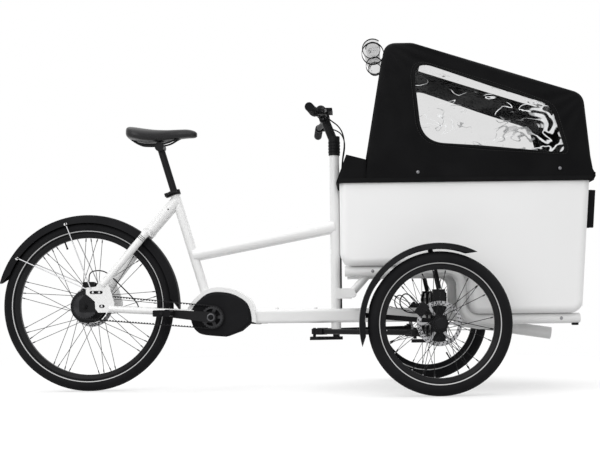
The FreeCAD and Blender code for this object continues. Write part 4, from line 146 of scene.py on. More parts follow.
def makeRoom(c):
    world = bpy.data.worlds.new("room")
    bpy.context.scene.world = world
    world.use_nodes = True
    tree = world.node_tree
    strength = rangeOf(tree, seenRay(tree), c["room"], 1, 0, 1)
    plug(tree, tree.nodes["Background"], {"Color": (1, 1, 1, 1), "Strength": strength})
    for name, (power, size, place) in c["lamps"].items():
        data = bpy.data.lights.new(name, "AREA")
        data.energy, data.size = power, size
        lamp = addObject(name, data)
        lamp.location = place
        aim = Vector(c["aim"]) - Vector(place)
        lamp.rotation_euler = aim.to_track_quat("-Z", "Y").to_euler()


def makeFloor(c):
    # near the part a grey that glows up to white and takes the shadow, far off plain white
    half = c["floorSize"] / 2
    mesh = bpy.data.meshes.new("floor")
    mesh.from_pydata([(-half, -half, 0), (half, -half, 0), (half, half, 0), (-half, half, 0)], [], [(0, 1, 2, 3)])
    addObject("floor", mesh)
    material, tree = newFinish("paleFloor")[:2]
    tree.nodes.clear()
    seen = seenRay(tree)
    spot = addNode(tree, "TexCoord").outputs["Object"]
    away = addNode(tree, "VectorMath", {0: spot}, operation="LENGTH").outputs["Value"]
    fade = rangeOf(tree, away, 0, 1, c["nearFade"], c["farFade"], interpolation_type="SMOOTHSTEP")
    grey = addNode(tree, "BsdfDiffuse", {"Color": (c["floorGrey"],) * 3 + (1,)}).outputs[0]
    glow = addNode(tree, "Emission", {"Strength": times(tree, seen, 1 - c["floorGrey"])}).outputs[0]
    near = addNode(tree, "AddShader", {0: grey, 1: glow}).outputs[0]
    far = addNode(tree, "Emission", {"Strength": seen}).outputs[0]
    mix = addNode(tree, "MixShader", {0: fade, 1: near, 2: far}).outputs[0]
    addNode(tree, "OutputMaterial", {"Surface": mix})
    mesh.materials.append(material)


makeRoom(lightSet)
makeFloor(lightSet)
bpy.context.scene.view_settings.view_transform = "Standard"
print("camera, light and floor made")


# shapes as arrays of points and lists of faces
def gridFaces(rows, columns, closeRows=False, closeColumns=False):
    # one quad between each pair of neighbouring rows and columns
    r = np.arange(rows if closeRows else rows - 1)[:, None]
    c = np.arange(columns if closeColumns else columns - 1)[None, :]
    afterR, afterC = (r + 1) % rows, (c + 1) % columns
    corners = [r * columns + c, r * columns + afterC, afterR * columns + afterC, afterR * columns + c]
    return np.stack(np.broadcast_arrays(*corners), -1).reshape(-1, 4).tolist()


def gridShape(grid, closeRows=False, closeColumns=False):
    return grid.reshape(-1, 3), gridFaces(*grid.shape[:2], closeRows, closeColumns)


def tubeShape(grid):
    # a grid closed round its columns, with one face over each end
    points, faces = gridShape(grid, False, True)
    rows, count = grid.shape[:2]
    return points, faces + [list(range(count)), [(rows - 1) * count + k for k in reversed(range(count))]]


def stacked(x, y, z):
    return np.stack(np.broadcast_arrays(rearAxle.x + x, y, z), -1)


def unit(vector):
    return vector / np.linalg.norm(vector, axis=-1, keepdims=True)


def circleOf(radius, count):
    a = np.arange(count) * 2 * math.pi / count
    return np.stack([radius * np.cos(a), radius * np.sin(a)], -1)


def oblong(halfWide, halfHigh):
    return [(-halfWide, -halfHigh), (halfWide, -halfHigh), (halfWide, halfHigh), (-halfWide, halfHigh)]


def curveThrough(points, steps):
    # a Catmull-Rom curve: each span is the cubic of its two ends and their neighbours
    p = np.asarray(points, float)
    p = np.concatenate([2 * p[:1] - p[1:2], p, 2 * p[-1:] - p[-2:-1]])
    t = np.linspace(0, len(p) - 3, steps)
    i = np.minimum(t.astype(int), len(p) - 4)
    f = (t - i)[:, None]
    a, b, c, e = p[i], p[i + 1], p[i + 2], p[i + 3]
    return 0.5 * (2 * b + (c - a) * f + (2 * a - 5 * b + 4 * c - e) * f ** 2 + (3 * b - a - 3 * c + e) * f ** 3)


def sweepShape(path, profile, up=(0, 0, 1)):
    # the profile's first axis goes sideways of the path and its second towards up
    profile = np.asarray(profile, float)
    ahead = unit(np.gradient(path, axis=0))
    side = unit(np.cross(ahead, np.asarray(up, float)))
    top = np.cross(side, ahead)
    return tubeShape(path[:, None] + (profile[None, :, :1] * side[:, None] + profile[None, :, 1:] * top[:, None]))


def blockShape(low, high):
    # rounded squares stacked up, drawn in towards both ends
    count, levels, squareness, cutBack = 32, 9, 0.35, 0.3
    half = (high - low) / 2
    circle = circleOf(1.0, count)
    square = np.sign(circle) * np.abs(circle) ** squareness
    v = np.linspace(-1, 1, levels)
    ease = 1 - np.abs(v) ** 8 * min(0.9, cutBack * (high - low).min() / half[:2].min())
    ring = square[None] * ease[:, None, None] * half[:2]
    level = np.broadcast_to((np.sign(v) * np.abs(v) ** 0.6 * half[2])[:, None, None], ring.shape[:2] + (1,))
    return tubeShape(np.concatenate([ring, level], -1) + (low + high) / 2)


def joined(shapes):
    points, faces, base = [], [], 0
    for p, f in shapes:
        points.append(p)
        faces += [[k + base for k in face] for face in f]
        base += len(p)
    return np.concatenate(points), faces


def makePiece(name, shape, body, material, smooth=True, outward=True):
    mesh = bpy.data.meshes.new(name)
    mesh.from_pydata(shape[0].tolist(), [], shape[1])
    if outward:
        work = bmesh.new()
        work.from_mesh(mesh)
        bmesh.ops.remove_doubles(work, verts=work.verts, dist=1e-6)
        bmesh.ops.recalc_face_normals(work, faces=work.faces)
        work.to_mesh(mesh)
        work.free()
    mesh.polygons.foreach_set("use_smooth", np.full(len(mesh.polygons), smooth))
    mesh.materials.append(material)
    mesh.update()
    piece = addObject(name, mesh)
    if body:
        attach(piece, body)
    return piece


def thicken(piece, thickness, offset):
    wall = piece.modifiers.new("wall", "SOLIDIFY")
    wall.thickness = thickness
    wall.offset = offset


def creaseSmooth(piece, angle=40):
    piece.data.set_sharp_from_angle(angle=math.radians(angle))


# finishes, each a principled shader fed by noise in object coordinates
def noiseOf(tree, scale, detail, stretch=None, twist=0.0):
    spot = addNode(tree, "TexCoord").outputs["Object"]
    if stretch:
        spot = addNode(tree, "Mapping", {"Vector": spot, "Scale": stretch}).outputs["Vector"]
    inputs = {"Vector": spot, "Scale": scale, "Detail": detail, "Distortion": twist}
    return addNode(tree, "TexNoise", inputs).outputs["Fac"]


def mixColour(tree, factor, first, second):
    first, second = (value + (1,) if isinstance(value, tuple) else value for value in (first, second))
    return addNode(tree, "Mix", {0: factor, 6: first, 7: second}, data_type="RGBA").outputs[2]


def bumpOf(tree, height, strength, distance, **under):
    inputs = {"Height": height, "Strength": strength, "Distance": distance, **under}
    return addNode(tree, "Bump", inputs).outputs["Normal"]


def patchyFinish(name, c):
    # two tones in soft patches, uneven gloss and a fine grain in the surface
    material, tree, shader = newFinish(name)
    span, glossScale = (0.15, 0.85), 3.3
    patch = rangeOf(tree, noiseOf(tree, c["patch"], 4), 0, 1, *span)
    grain = noiseOf(tree, c["grain"], 2, c["stretch"])
    plug(tree, shader, {
        "Base Color": mixColour(tree, patch, c["dark"], c["light"]),
        "Roughness": rangeOf(tree, noiseOf(tree, c["patch"] * glossScale, 5), *c["rough"], *span),
        "Normal": bumpOf(tree, grain, c["strength"], c["depth"]), "Specular IOR Level": c["shine"], **c["sockets"]})
    return material


def placeOf(tree):
    # X, Y and Z in the part's frame
    return addNode(tree, "SeparateXYZ", {0: addNode(tree, "TexCoord").outputs["Object"]}).outputs


def fromHub(tree, hub):
    # X and Z from a cross axle through hub, and the distance from it
    place = placeOf(tree)
    x = mathOf(tree, "SUBTRACT", place["X"], hub.x)
    z = mathOf(tree, "SUBTRACT", place["Z"], hub.z)
    squares = mathOf(tree, "ADD", times(tree, x, x), times(tree, z, z))
    return x, z, mathOf(tree, "SQRT", squares)


def bandMask(tree, value, low, high, soft=0.0008):
    up = rangeOf(tree, value, 0, 1, low - soft, low + soft)
    return times(tree, up, rangeOf(tree, value, 1, 0, high - soft, high + soft))


def hubBand(material, hub, low, high):
    # one between two distances from the hub's axle
    return bandMask(material.node_tree, fromHub(material.node_tree, hub)[2], low, high)


def tintBy(material, mask, c):
    # lays another colour, gloss and metal over the finish where the mask is one
    tree = material.node_tree
    shader = tree.nodes["Principled BSDF"]
    oldColour, oldRough = (shader.inputs[key].links[0].from_socket for key in ("Base Color", "Roughness"))
    gloss = addNode(tree, "Mix", {0: mask, 2: oldRough, 3: c["rough"]}).outputs[0]
    plug(tree, shader, {"Base Color": mixColour(tree, mask, oldColour, c["colour"]), "Roughness": gloss})
    if c["metal"]:
        plug(tree, shader, {"Metallic": times(tree, mask, c["metal"])})


plainFinish = dict(
    dark=(0.006, 0.006, 0.007), light=(0.013, 0.013, 0.014), depth=0.0003, shine=0.5, stretch=None, sockets={})
finishSet = {
    "whitePaint": dict(
        dark=(0.8, 0.8, 0.8), light=(0.86, 0.86, 0.855), patch=5, rough=(0.2, 0.3), grain=420, strength=0.1,
        depth=0.0004, sockets={"Coat Weight": 0.5, "Coat Roughness": 0.08}),
    "whiteMoulding": dict(
        dark=(0.875, 0.875, 0.875), light=(0.925, 0.925, 0.925), patch=2.2, rough=(0.26, 0.36), grain=240,
        strength=0.12, depth=0.0005, sockets={"Coat Weight": 0.25, "Coat Roughness": 0.2}),
    "satinBlack": dict(
        light=(0.016, 0.016, 0.017), patch=14, rough=(0.3, 0.44), grain=900, strength=0.16, shine=0.1,
        sockets={"Coat Weight": 0.03, "Coat Roughness": 0.25}),
    "mouldedBlack": dict(patch=9, rough=(0.42, 0.58), grain=1400, strength=0.3, shine=0.06),
    "rubberBlack": dict(
        light=(0.015, 0.015, 0.016), patch=12, rough=(0.62, 0.78), grain=700, strength=0.35, depth=0.0004, shine=0.06),
    "bareSteel": dict(
        dark=(0.5, 0.5, 0.51), light=(0.66, 0.66, 0.67), patch=30, rough=(0.22, 0.36), grain=900, strength=0.15,
        depth=0.0002, stretch=(1, 1, 14), sockets={"Metallic": 1.0}),
    "beltRubber": dict(patch=40, rough=(0.55, 0.7), grain=1600, strength=0.4, shine=0.2),
    "saddleCover": dict(
        patch=10, rough=(0.28, 0.4), grain=520, strength=0.28, depth=0.0005, shine=0.3, sockets={"Sheen Weight": 0.05}),
    "tyreRubber": dict(
        light=(0.014, 0.014, 0.015), patch=7, rough=(0.6, 0.8), grain=380, strength=0.3, depth=0.0006, shine=0.08),
}


def ownFinish(name, key, **changes):
    return patchyFinish(name, {**plainFinish, **finishSet[key], **changes})


def steelOf(name, dark, light):
    return ownFinish(name, "bareSteel", dark=dark, light=light)


whitePaint, whiteMoulding, satinBlack, mouldedBlack, rubberBlack, bareSteel, beltRubber, saddleCover = (
    ownFinish(key, key) for key in finishSet if key != "tyreRubber")


def dress(material, *names):
    for name in names:
        nodes[name].data.materials.clear()
        nodes[name].data.materials.append(material)


dress(whitePaint, "main_frame", "rear_stays", "cargo_chassis")
dress(whiteMoulding, "cargo_box", "front_door")
dress(satinBlack, "axle_carriers", "lean_bracket", "lower_lean_arm", "upper_lean_arm", "steerer", "stem", "handlebar",
      "seat_clamp", "seat_post", "crankset", "rear_caliper", "door_hinges", "qr_lever", "hood_bows", "rear_rim")
dress(mouldedBlack, "drive_motor", "bar_controls", "door_latch")
for tag, side in bothSides:
    for name in ("upright", "knuckle", "rod_joint", "tie_rod", "brake_lever", "front_rim"):
        dress(satinBlack, tag + "_" + name)
    dress(mouldedBlack, tag + "_fender", tag + "_pedal")
dress(rubberBlack, "grips", "twist_shifter")
dress(beltRubber, "drive_belt")
dress(steelOf("toothedGrey", (0.022, 0.022, 0.023), (0.06, 0.06, 0.063)), "rear_sprocket", "drive_sprocket")

# wheels: reflecting ring's and rim's radius, brake disc's distance from the middle, valve's angle
wheelSet = {
    "rear": dict(body="rear_wheel", ring=0.2905, rim=0.2745, disc=0.044, valve=110),
    "right_front": dict(body="right_wheel", ring=0.2115, rim=0.1995, disc=0.035, valve=252),
    "left_front": dict(body="left_wheel", ring=0.2115, rim=0.1995, disc=-0.035, valve=300),
}
ringSet = dict(half=0.00135, colour=(0.68, 0.68, 0.68), rough=0.4, metal=0)
nippleSet = dict(length=0.013, colour=(0.55, 0.55, 0.56), rough=0.3, metal=1)
discSet = dict(
    half=0.0024, soft=0.0002, inner=0.034, holes=30, slant=260, holeEdge=(0.3, 0.45),
    rows=((0.0665, 0.0708), (0.0738, 0.078)), colour=(0.42, 0.42, 0.43), rough=0.34, metal=1)
greyRingSet = dict(
    low=0.0288, high=0.0308, patch=60, edge=(0.4, 0.55), least=0.2, colour=(0.5, 0.5, 0.5), rough=0.3, metal=0)
staySet = dict(reach=0.318, colour=(0.5, 0.5, 0.51), rough=0.3, metal=1)


def discMask(tree, hub, discY, c):
    # one on the brake disc's plate, zero in its two rows of slanting holes
    x, z, reach = fromHub(tree, hub)
    flat = bandMask(tree, mathOf(tree, "SUBTRACT", placeOf(tree)["Y"], discY), -c["half"], c["half"], c["soft"])
    plate = times(tree, flat, bandMask(tree, reach, c["inner"], 1))
    slant = mathOf(tree, "ADD", times(tree, mathOf(tree, "ARCTAN2", z, x), c["holes"]), times(tree, reach, c["slant"]))
    hole = rangeOf(tree, mathOf(tree, "SINE", slant), 0, 1, *c["holeEdge"])
    rows = mathOf(tree, "ADD", *(bandMask(tree, reach, *row) for row in c["rows"]))
    return times(tree, plate, mathOf(tree, "SUBTRACT", 1.0, times(tree, hole, rows)))


for tag, c in wheelSet.items():
    hub = middleOf(tag + "_tyre")
    rubber = ownFinish(tag + "TyreRubber", "tyreRubber")
    tintBy(rubber, hubBand(rubber, hub, c["ring"] - ringSet["half"], c["ring"] + ringSet["half"]), ringSet)
    dress(rubber, tag + "_tyre")
    wire = ownFinish(tag + "SpokeBlack", "satinBlack")
    tintBy(wire, hubBand(wire, hub, c["rim"] - nippleSet["length"], 1), nippleSet)
    dress(wire, tag + "_spokes")
    shell = ownFinish(tag + "HubBlack", "satinBlack")
    tree = shell.node_tree
    tintBy(shell, discMask(tree, hub, hub.y + c["disc"], discSet), discSet)
    if tag == "rear":
        # a thin grey ring round the rear hub's shell, broken by noise
        greyRing = rangeOf(tree, noiseOf(tree, greyRingSet["patch"], 2), greyRingSet["least"], 1, *greyRingSet["edge"])
        greyRing = times(tree, hubBand(shell, hub, greyRingSet["low"], greyRingSet["high"]), greyRing)
        tintBy(shell, greyRing, greyRingSet)
    dress(shell, tag + "_hub")
fenderBlack = ownFinish("fenderBlack", "mouldedBlack")
tintBy(fenderBlack, hubBand(fenderBlack, rearAxle, -1, staySet["reach"]), staySet)
dress(fenderBlack, "rear_fender")
print("finishes made")


def fabricFinish(name, c):
    # a plain weave: two crossing waves along the piece's own UV, with dull patches
    material, tree, shader = newFinish(name)
    creaseDepth, threadDepth, glossScale, sheenRough = 0.01, 0.0003, 2.3, 0.4
    place = addNode(tree, "SeparateXYZ", {0: addNode(tree, "UVMap").outputs["UV"]}).outputs
    turns = 2 * math.pi / c["thread"]
    weave = times(tree, *(mathOf(tree, "SINE", times(tree, place[key], turns)) for key in ("X", "Y")))
    tone = mixColour(tree, rangeOf(tree, noiseOf(tree, c["patch"], 5), 0, 1), c["dark"], c["light"])
    crease = bumpOf(tree, noiseOf(tree, c["crease"], 3), c["creaseStrength"], creaseDepth)
    plug(tree, shader, {
        "Base Color": mixColour(tree, rangeOf(tree, weave, 0, c["threadTone"], -1, 1), tone, c["light"]),
        "Roughness": rangeOf(tree, noiseOf(tree, c["patch"] * glossScale, 4), *c["rough"]),
        "Normal": bumpOf(tree, weave, c["weaveStrength"], threadDepth, Normal=crease),
        "Specular IOR Level": c["shine"], "Sheen Weight": c["sheen"], "Sheen Roughness": sheenRough})
    return material


fabricSet = {
    "hoodFabric": dict(
        thread=0.0016, patch=5, dark=(0.0022, 0.0022, 0.0026), light=(0.0055, 0.0055, 0.006), threadTone=0.5,
        rough=(0.55, 0.72), crease=7, creaseStrength=0.18, weaveStrength=0.25, sheen=0.01, shine=0.07),
    "cushionCloth": dict(
        thread=0.0024, patch=8, dark=(0.035, 0.036, 0.04), light=(0.07, 0.071, 0.078), threadTone=0.7,
        rough=(0.75, 0.9), crease=18, creaseStrength=0.12, weaveStrength=0.5, sheen=0.15, shine=0.2),
    "trimFabric": dict(
        thread=0.0022, patch=9, dark=(0.003, 0.003, 0.0034), light=(0.007, 0.007, 0.0074), threadTone=0.5,
        rough=(0.5, 0.7), crease=60, creaseStrength=0.1, weaveStrength=0.4, sheen=0.01, shine=0.08),
}
hoodFabric, cushionCloth, trimFabric = (fabricFinish(key, c) for key, c in fabricSet.items())
filmSet = dict(
    tone=(0.86, 0.87, 0.88), rough=0.07, bend=1.5, crinkle=16, crinkleStrength=0.5, crinkleDepth=0.02,
    stretch=(1, 1, 1.7), cloud=9, haze=(0.0, 0.04), hazeEdge=(0.35, 0.7), swirl=9, twist=1.2, glint=(0.012, 0.05),
    widen=(1.5, 1.8), crowd=(1.62, 1.74), sidePane=(0.19, 0.22), sparse=12, sparseEdge=(0.5, 0.56), glintClear=0.9,
    dim=0.86)


def filmFinish(name, c):
    # clear film that dims what is behind it, with shallow crinkles that catch the light and painted white glints
    material, tree, shader = newFinish(name)
    crinkle = noiseOf(tree, c["crinkle"], 2, c["stretch"])
    plug(tree, shader, {
        "Base Color": c["tone"] + (1,), "Roughness": c["rough"], "IOR": c["bend"],
        "Normal": bumpOf(tree, crinkle, c["crinkleStrength"], c["crinkleDepth"])})
    haze = rangeOf(tree, noiseOf(tree, c["cloud"], 4, c["stretch"]), *c["haze"], *c["hazeEdge"])
    # painted glints: white lines where a swirled noise crosses its middle, wider and closer at the side panes' front
    swirl = noiseOf(tree, c["swirl"], 1.5, c["stretch"], c["twist"])
    place = placeOf(tree)
    widen, crowd = ([rearAxle.x + x for x in span] for span in (c["widen"], c["crowd"]))
    width = rangeOf(tree, place["X"], *c["glint"], *widen)
    off = mathOf(tree, "DIVIDE", mathOf(tree, "ABSOLUTE", mathOf(tree, "SUBTRACT", swirl, 0.5)), width)
    sideOnly = rangeOf(tree, mathOf(tree, "ABSOLUTE", place["Y"]), 0, 1, *c["sidePane"])
    ahead = times(tree, sideOnly, rangeOf(tree, place["X"], 0, 1, *crowd))
    sparse = mathOf(tree, "MAXIMUM", rangeOf(tree, noiseOf(tree, c["sparse"], 2), 0, 1, *c["sparseEdge"]), ahead)
    # painted highlight: where the glint mask is one, the film shows its white tone instead of what is behind it
    glint = times(tree, rangeOf(tree, off, 1, 0, 0.6, 1.0), sparse)
    shown = mathOf(tree, "MAXIMUM", haze, times(tree, glint, c["glintClear"]))
    through = addNode(tree, "BsdfTransparent", {"Color": (c["dim"],) * 3 + (1,)}).outputs[0]
    mix = addNode(tree, "MixShader", {0: shown, 1: through, 2: shader.outputs[0]}).outputs[0]
    plug(tree, tree.nodes["Material Output"], {"Surface": mix})
    return material


clearFilm = filmFinish("clearFilm", filmSet)

# hood: outline in side view from the rear axle's foot, half widths, waves and windows
hoodSet = dict(
    low=0.7625, sideTop=0.764, top=1.278, lowHalf=0.279, topHalf=0.245, edgeRound=0.018, frontLow=(1.9033, 0.7625),
    frontTop=(1.874, 1.081), flatEnd=(1.253, 1.278), rearTop=(1.153, 1.278), rearLow=(1.08, 0.846),
    apronTop=(1.008, 0.865), apronLow=(0.97, 0.7625), rounds=(0.002, 0.056, 0.056, 0.048, 0.002, 0.002),
    window=((1.2793, 0.909), (1.2495, 1.2145), (1.7571, 1.0405), (1.8079, 0.8617)),
    windowRounds=(0.1, 0.052, 0.074, 0.022), centre=(1.52, 1.0), rays=420, rows=12, edgeRows=6, foldLow=0.8,
    foldSpan=0.05, leastFold=0.004, openTop=1.222, openLow=0.872, openHalf=0.212, paneHalf=0.178,
    roofPane=(1.297, 1.795), frontPane=(0.812, 1.016), sag=0.004, columnX=0.957, columnRoom=0.0265, wall=0.002,
    wrinkle=0.0022, flat=(1.9, 1.35), rearFan=((1.12, 1.3), 26, (1.15, 1.26), 0.16, 0.14),
    frontFan=((1.9, 1.1), 18, (1.87, 1.08), 0.12, 0.1), hemZ=0.79, hemHigh=0.05, fadeOut=0.03, fadeIn=0.02,
    rearmost=1.3, lowRow=0.004, frontX=1.89, lastRay=0.38, sagFrom=1.25, sagLong=0.6, frontPaneX=1.85, apronIn=0.0005)
paneSet = dict(
    past=0.008, inside=0.0032, crinkle=0.0016, rows=30,
    flat={"rightPane": (0.59, 0.38), "leftPane": (0.59, 0.38), "roofPane": (0.53, 0.37), "frontPane": (0.37, 0.22)})


def roundedOutline(corners, radii, steps=12):
    # each corner becomes a quadratic arc between the points where its round begins
    p = np.asarray(corners, float)
    before, after = np.roll(p, 1, 0) - p, np.roll(p, -1, 0) - p
    shorter = np.minimum(*(np.linalg.norm(span, axis=1, keepdims=True) for span in (before, after)))
    before, after = unit(before), unit(after)
    cosine = np.clip((before * after).sum(1, keepdims=True), -0.999, 0.999)
    cut = np.minimum(np.asarray(radii)[:, None] / np.tan(np.arccos(cosine) / 2), 0.48 * shorter)
    start, end = p + before * cut, p + after * cut
    t = np.linspace(0, 1, steps)[None, :, None]
    arcs = (1 - t) ** 2 * start[:, None] + 2 * t * (1 - t) * p[:, None] + t ** 2 * end[:, None]
    return arcs.reshape(-1, 2)


def crossOf(a, b):
    return a[..., 0] * b[..., 1] - a[..., 1] * b[..., 0]


def rayReach(outline, centre, ray):
    # how far each ray from the centre goes before it meets the closed outline
    tiny, slack = 1e-12, 1e-9
    p, ray = outline - centre, ray[:, None]
    edge = np.roll(p, -1, 0) - p
    cross = crossOf(ray, edge)
    cross = np.where(np.abs(cross) < tiny, tiny, cross)
    reach, share = crossOf(p, edge) / cross, crossOf(p, ray) / cross
    good = (reach > 0) & (share >= -slack) & (share <= 1 + slack)
    return np.where(good, reach, 0).max(1)


def hoodOutlines(c):
    # the rays' directions, and how far they go to the hood's outline and to the window's
    main = c["frontLow"], c["frontTop"], c["flatEnd"], c["rearTop"], c["rearLow"], (c["rearLow"][0], c["low"])
    angles = np.linspace(0, 2 * math.pi, c["rays"], endpoint=False)
    ray = np.stack([np.cos(angles), np.sin(angles)], -1)
    lines = roundedOutline(main, c["rounds"]), roundedOutline(c["window"], c["windowRounds"], 24)
    return ray, *(rayReach(line, np.array(c["centre"]), ray) for line in lines)


hoodRay, hoodFar, windowFar = hoodOutlines(hoodSet)


def onRays(c, reach):
    # x and z of the places that lie so far out on the rays
    return [c["centre"][k] + reach * hoodRay[:, k] for k in (0, 1)]


def halfAt(z, c):
    share = np.clip((z - c["sideTop"]) / (c["top"] - c["sideTop"]), 0, 1)
    return c["lowHalf"] + (c["topHalf"] - c["lowHalf"]) * share


def hemWave(x):
    return np.sin(x * 34 + 3 * np.sin(x * 7))


def fanWave(x, z, tip, turns, middle, reach, width):
    # waves round a tip, strongest in a ring round a middle
    fan = np.arctan2(z - tip[1], x - tip[0])
    away = np.hypot(x - middle[0], z - middle[1])
    return np.sin(fan * turns) * np.exp(-((away - reach) / width) ** 2)


def hoodWrinkle(x, z, c):
    # slack cloth: long low waves that fan out of the top corners and along the hem
    rear, front = fanWave(x, z, *c["rearFan"]), fanWave(x, z, *c["frontFan"])
    hem = hemWave(x) * np.exp(-((z - c["hemZ"]) / c["hemHigh"]) ** 2)
    soft = np.sin(x * 11 + z * 17) * np.sin(z * 9 - x * 5)
    return c["wrinkle"] * (rear + 0.8 * front + 0.7 * hem + 0.5 * soft)


def wrinkledHalf(x, z, reach, c):
    # the half width with the waves, which fade out towards the window and the outline
    ease = np.clip((hoodFar - reach) / c["fadeOut"], 0, 1) * np.clip((reach - windowFar) / c["fadeIn"], 0, 1)
    return halfAt(z, c) + hoodWrinkle(x, z, c) * ease


def hoodSide(c, side):
    # rings from the window's edge to the outline; the last rings turn over the edge in a quarter round
    edge = onRays(c, hoodFar)[1]
    fold = np.clip((edge - c["foldLow"]) / c["foldSpan"], 0, 1) * c["edgeRound"]
    least = np.maximum(fold, c["leastFold"])
    flat = windowFar + (hoodFar - least - windowFar) * np.linspace(0, 1, c["rows"])[:, None]
    a = np.linspace(0, math.pi / 2, c["edgeRows"] + 1)[1:, None]
    reach = np.concatenate([flat, hoodFar - least * (1 - np.sin(a))])
    drop = np.concatenate([np.zeros_like(flat), fold * (1 - np.cos(a))])
    x, z = onRays(c, reach)
    return stacked(x, side * (wrinkledHalf(x, z, reach, c) - drop), z)


def hoodStrip(c):
    # the outline from the rear's top over the roof and down the front, carried across the hood's width
    x, y, z = hoodSide(c, 1)[-1].T
    x = x - rearAxle.x
    angle = np.arctan2(z - c["centre"][1], x - c["centre"][0])
    keep = ((x > c["rearmost"]) | (z > c["openTop"])) & ~((z < c["low"] + c["lowRow"]) & (x < c["frontX"]))
    keep &= angle > np.arctan2(c["low"] - c["centre"][1], c["lastRay"])
    order = np.argsort(-angle)
    order = order[keep[order]]
    x, y, z = x[order], y[order, None], z[order]
    half = c["paneHalf"]
    share = np.concatenate([np.linspace(-1, 0, 6)[:-1], np.linspace(0, 1, 15), np.linspace(1, 2, 6)[1:]])
    band = np.clip(share, -1, 0) + np.clip(share - 1, 0, 1)
    across = -half + 2 * half * np.clip(share, 0, 1) + (y - half) * band
    along = np.clip((x - c["sagFrom"]) / c["sagLong"], 0, 1)[:, None]
    sag = c["sag"] * np.sin(along * math.pi) * np.cos(across / y * math.pi / 2)
    points, faces = gridShape(stacked(x[:, None], across, z[:, None] - sag))
    faces = np.asarray(faces)
    middle = points[faces].mean(1)
    place = middle[:, 0] - rearAxle.x
    inPane = np.abs(middle[:, 1]) < half - 1e-4
    roof = inPane & (place > c["roofPane"][0]) & (place < c["roofPane"][1])
    front = inPane & (middle[:, 2] > c["frontPane"][0]) & (middle[:, 2] < c["frontPane"][1])
    front &= place > c["frontPaneX"]
    shapes = []
    for kept in (~(roof | front), roof, front):
        used, index = np.unique(faces[kept], return_inverse=True)
        shapes.append((points[used], index.reshape(-1, 4).tolist()))
    return shapes


def patchShape(corners, rows, columns):
    # a four-cornered patch: straight rows between its two straight sides
    a, b, e, f = corners
    u, v = np.linspace(0, 1, rows)[:, None, None], np.linspace(0, 1, columns)[None, :, None]
    return gridShape((1 - u) * ((1 - v) * a + v * b) + u * ((1 - v) * f + v * e))


def roundColumn(shape, c):
    # cloth that would lie inside the steering column's room goes round its front
    x, y, z = shape[0].T
    room = np.sqrt(np.clip(c["columnRoom"] ** 2 - y ** 2, 0, None))
    front = rearAxle.x + c["columnX"] + room
    return np.stack([np.where(room > 0, np.maximum(x, front), x), y, z], -1), shape[1]


def hoodRear(c):
    # the bands beside the rear opening and the apron below it, with its two cheeks
    shapes = []
    (ax, az), (bx, bz), (ex, ez) = c["apronLow"], c["apronTop"], c["rearLow"]
    w, v, u = halfAt(np.array([az, bz, ez]), c) - c["apronIn"]
    lean = (c["rearTop"][0] - ex) / (c["rearTop"][1] - ez)
    top, edge = c["openLow"], c["edgeRound"]
    for side in (1, -1):
        band = ((halfAt(top, c) - edge, top), (c["openHalf"], top), (c["openHalf"], c["openTop"]),
                (halfAt(c["openTop"], c) - edge, c["openTop"]))
        shapes.append(patchShape([fromAxle(ex + lean * (z - ez), side * y, z) for y, z in band], 24, 5))
        cheek = ((ax, w, az), (ex, w, az), (ex, u, ez), (bx, v, bz))
        shapes.append(patchShape([fromAxle(x, side * y, z) for x, y, z in cheek], 10, 8))
    steps = (ax, w, az), (bx, v, bz), (ex, u, ez), (ex + lean * (top - ez), u - edge, top)
    for low, high, rows, columns in zip(steps, steps[1:], (12, 8, 4), (97, 49, 49)):
        ends = (low, -1), (low, 1), (high, 1), (high, -1)
        shape = patchShape([fromAxle(x, side * y, z) for (x, y, z), side in ends], rows, columns)
        shapes.append(roundColumn(shape, c) if low == steps[0] else shape)
    return shapes


def readMesh(items, key, width, kind=float):
    values = np.empty(len(items) * width, kind)
    items.foreach_get(key, values)
    return values.reshape(-1, width)


def sideMap(piece):
    # UV in metres: along the piece and up it, seen square to each face's main direction
    mesh = piece.data
    spot = readMesh(mesh.vertices, "co", 3)[readMesh(mesh.loops, "vertex_index", 1, int)[:, 0]]
    main = np.abs(readMesh(mesh.polygons, "normal", 3)).argmax(1)
    main = np.repeat(main, readMesh(mesh.polygons, "loop_total", 1, int)[:, 0])
    first = np.where(main == 0, spot[:, 1], spot[:, 0])
    second = np.where(main == 2, spot[:, 1], spot[:, 2])
    layer = mesh.uv_layers.new(name="cloth")
    layer.data.foreach_set("uv", np.stack([first, second], -1).ravel())


strip, roofPane, frontPane = hoodStrip(hoodSet)
hoodSides = [gridShape(hoodSide(hoodSet, side), False, True) for tag, side in bothSides]
hood = makePiece("hoodCloth", joined(hoodSides + [strip] + hoodRear(hoodSet)), "frame", hoodFabric)
sideMap(hood)
creaseSmooth(hood, 50)
thicken(hood, hoodSet["wall"], -1)
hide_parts("hood_cover")


def paneShape(c, p, side):
    # a disc of rings from the window's middle to just past its edge, with shallow crinkles
    t = np.linspace(0.02, 1, p["rows"])[:, None]
    x, z = onRays(c, t * (windowFar + p["past"]))
    crinkle = np.sin(x * 37 + 2 * np.sin(z * 23)) * np.sin(z * 41 - x * 13) + 0.6 * np.sin(x * 71 - z * 53)
    y = halfAt(z, c) - p["inside"] + p["crinkle"] * crinkle * (1 - t ** 6)
    points, faces = gridShape(stacked(x, side * y, z), False, True)
    return points, faces + [list(range(c["rays"]))[::-1]]


for tag, shape in (("rightPane", paneShape(hoodSet, paneSet, -1)), ("leftPane", paneShape(hoodSet, paneSet, 1)),
                   ("roofPane", roofPane), ("frontPane", frontPane)):
    pane = makePiece(tag, shape, "frame", clearFilm)
    if tag == "rightPane":
        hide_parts("hood_windows")
print("hood made")

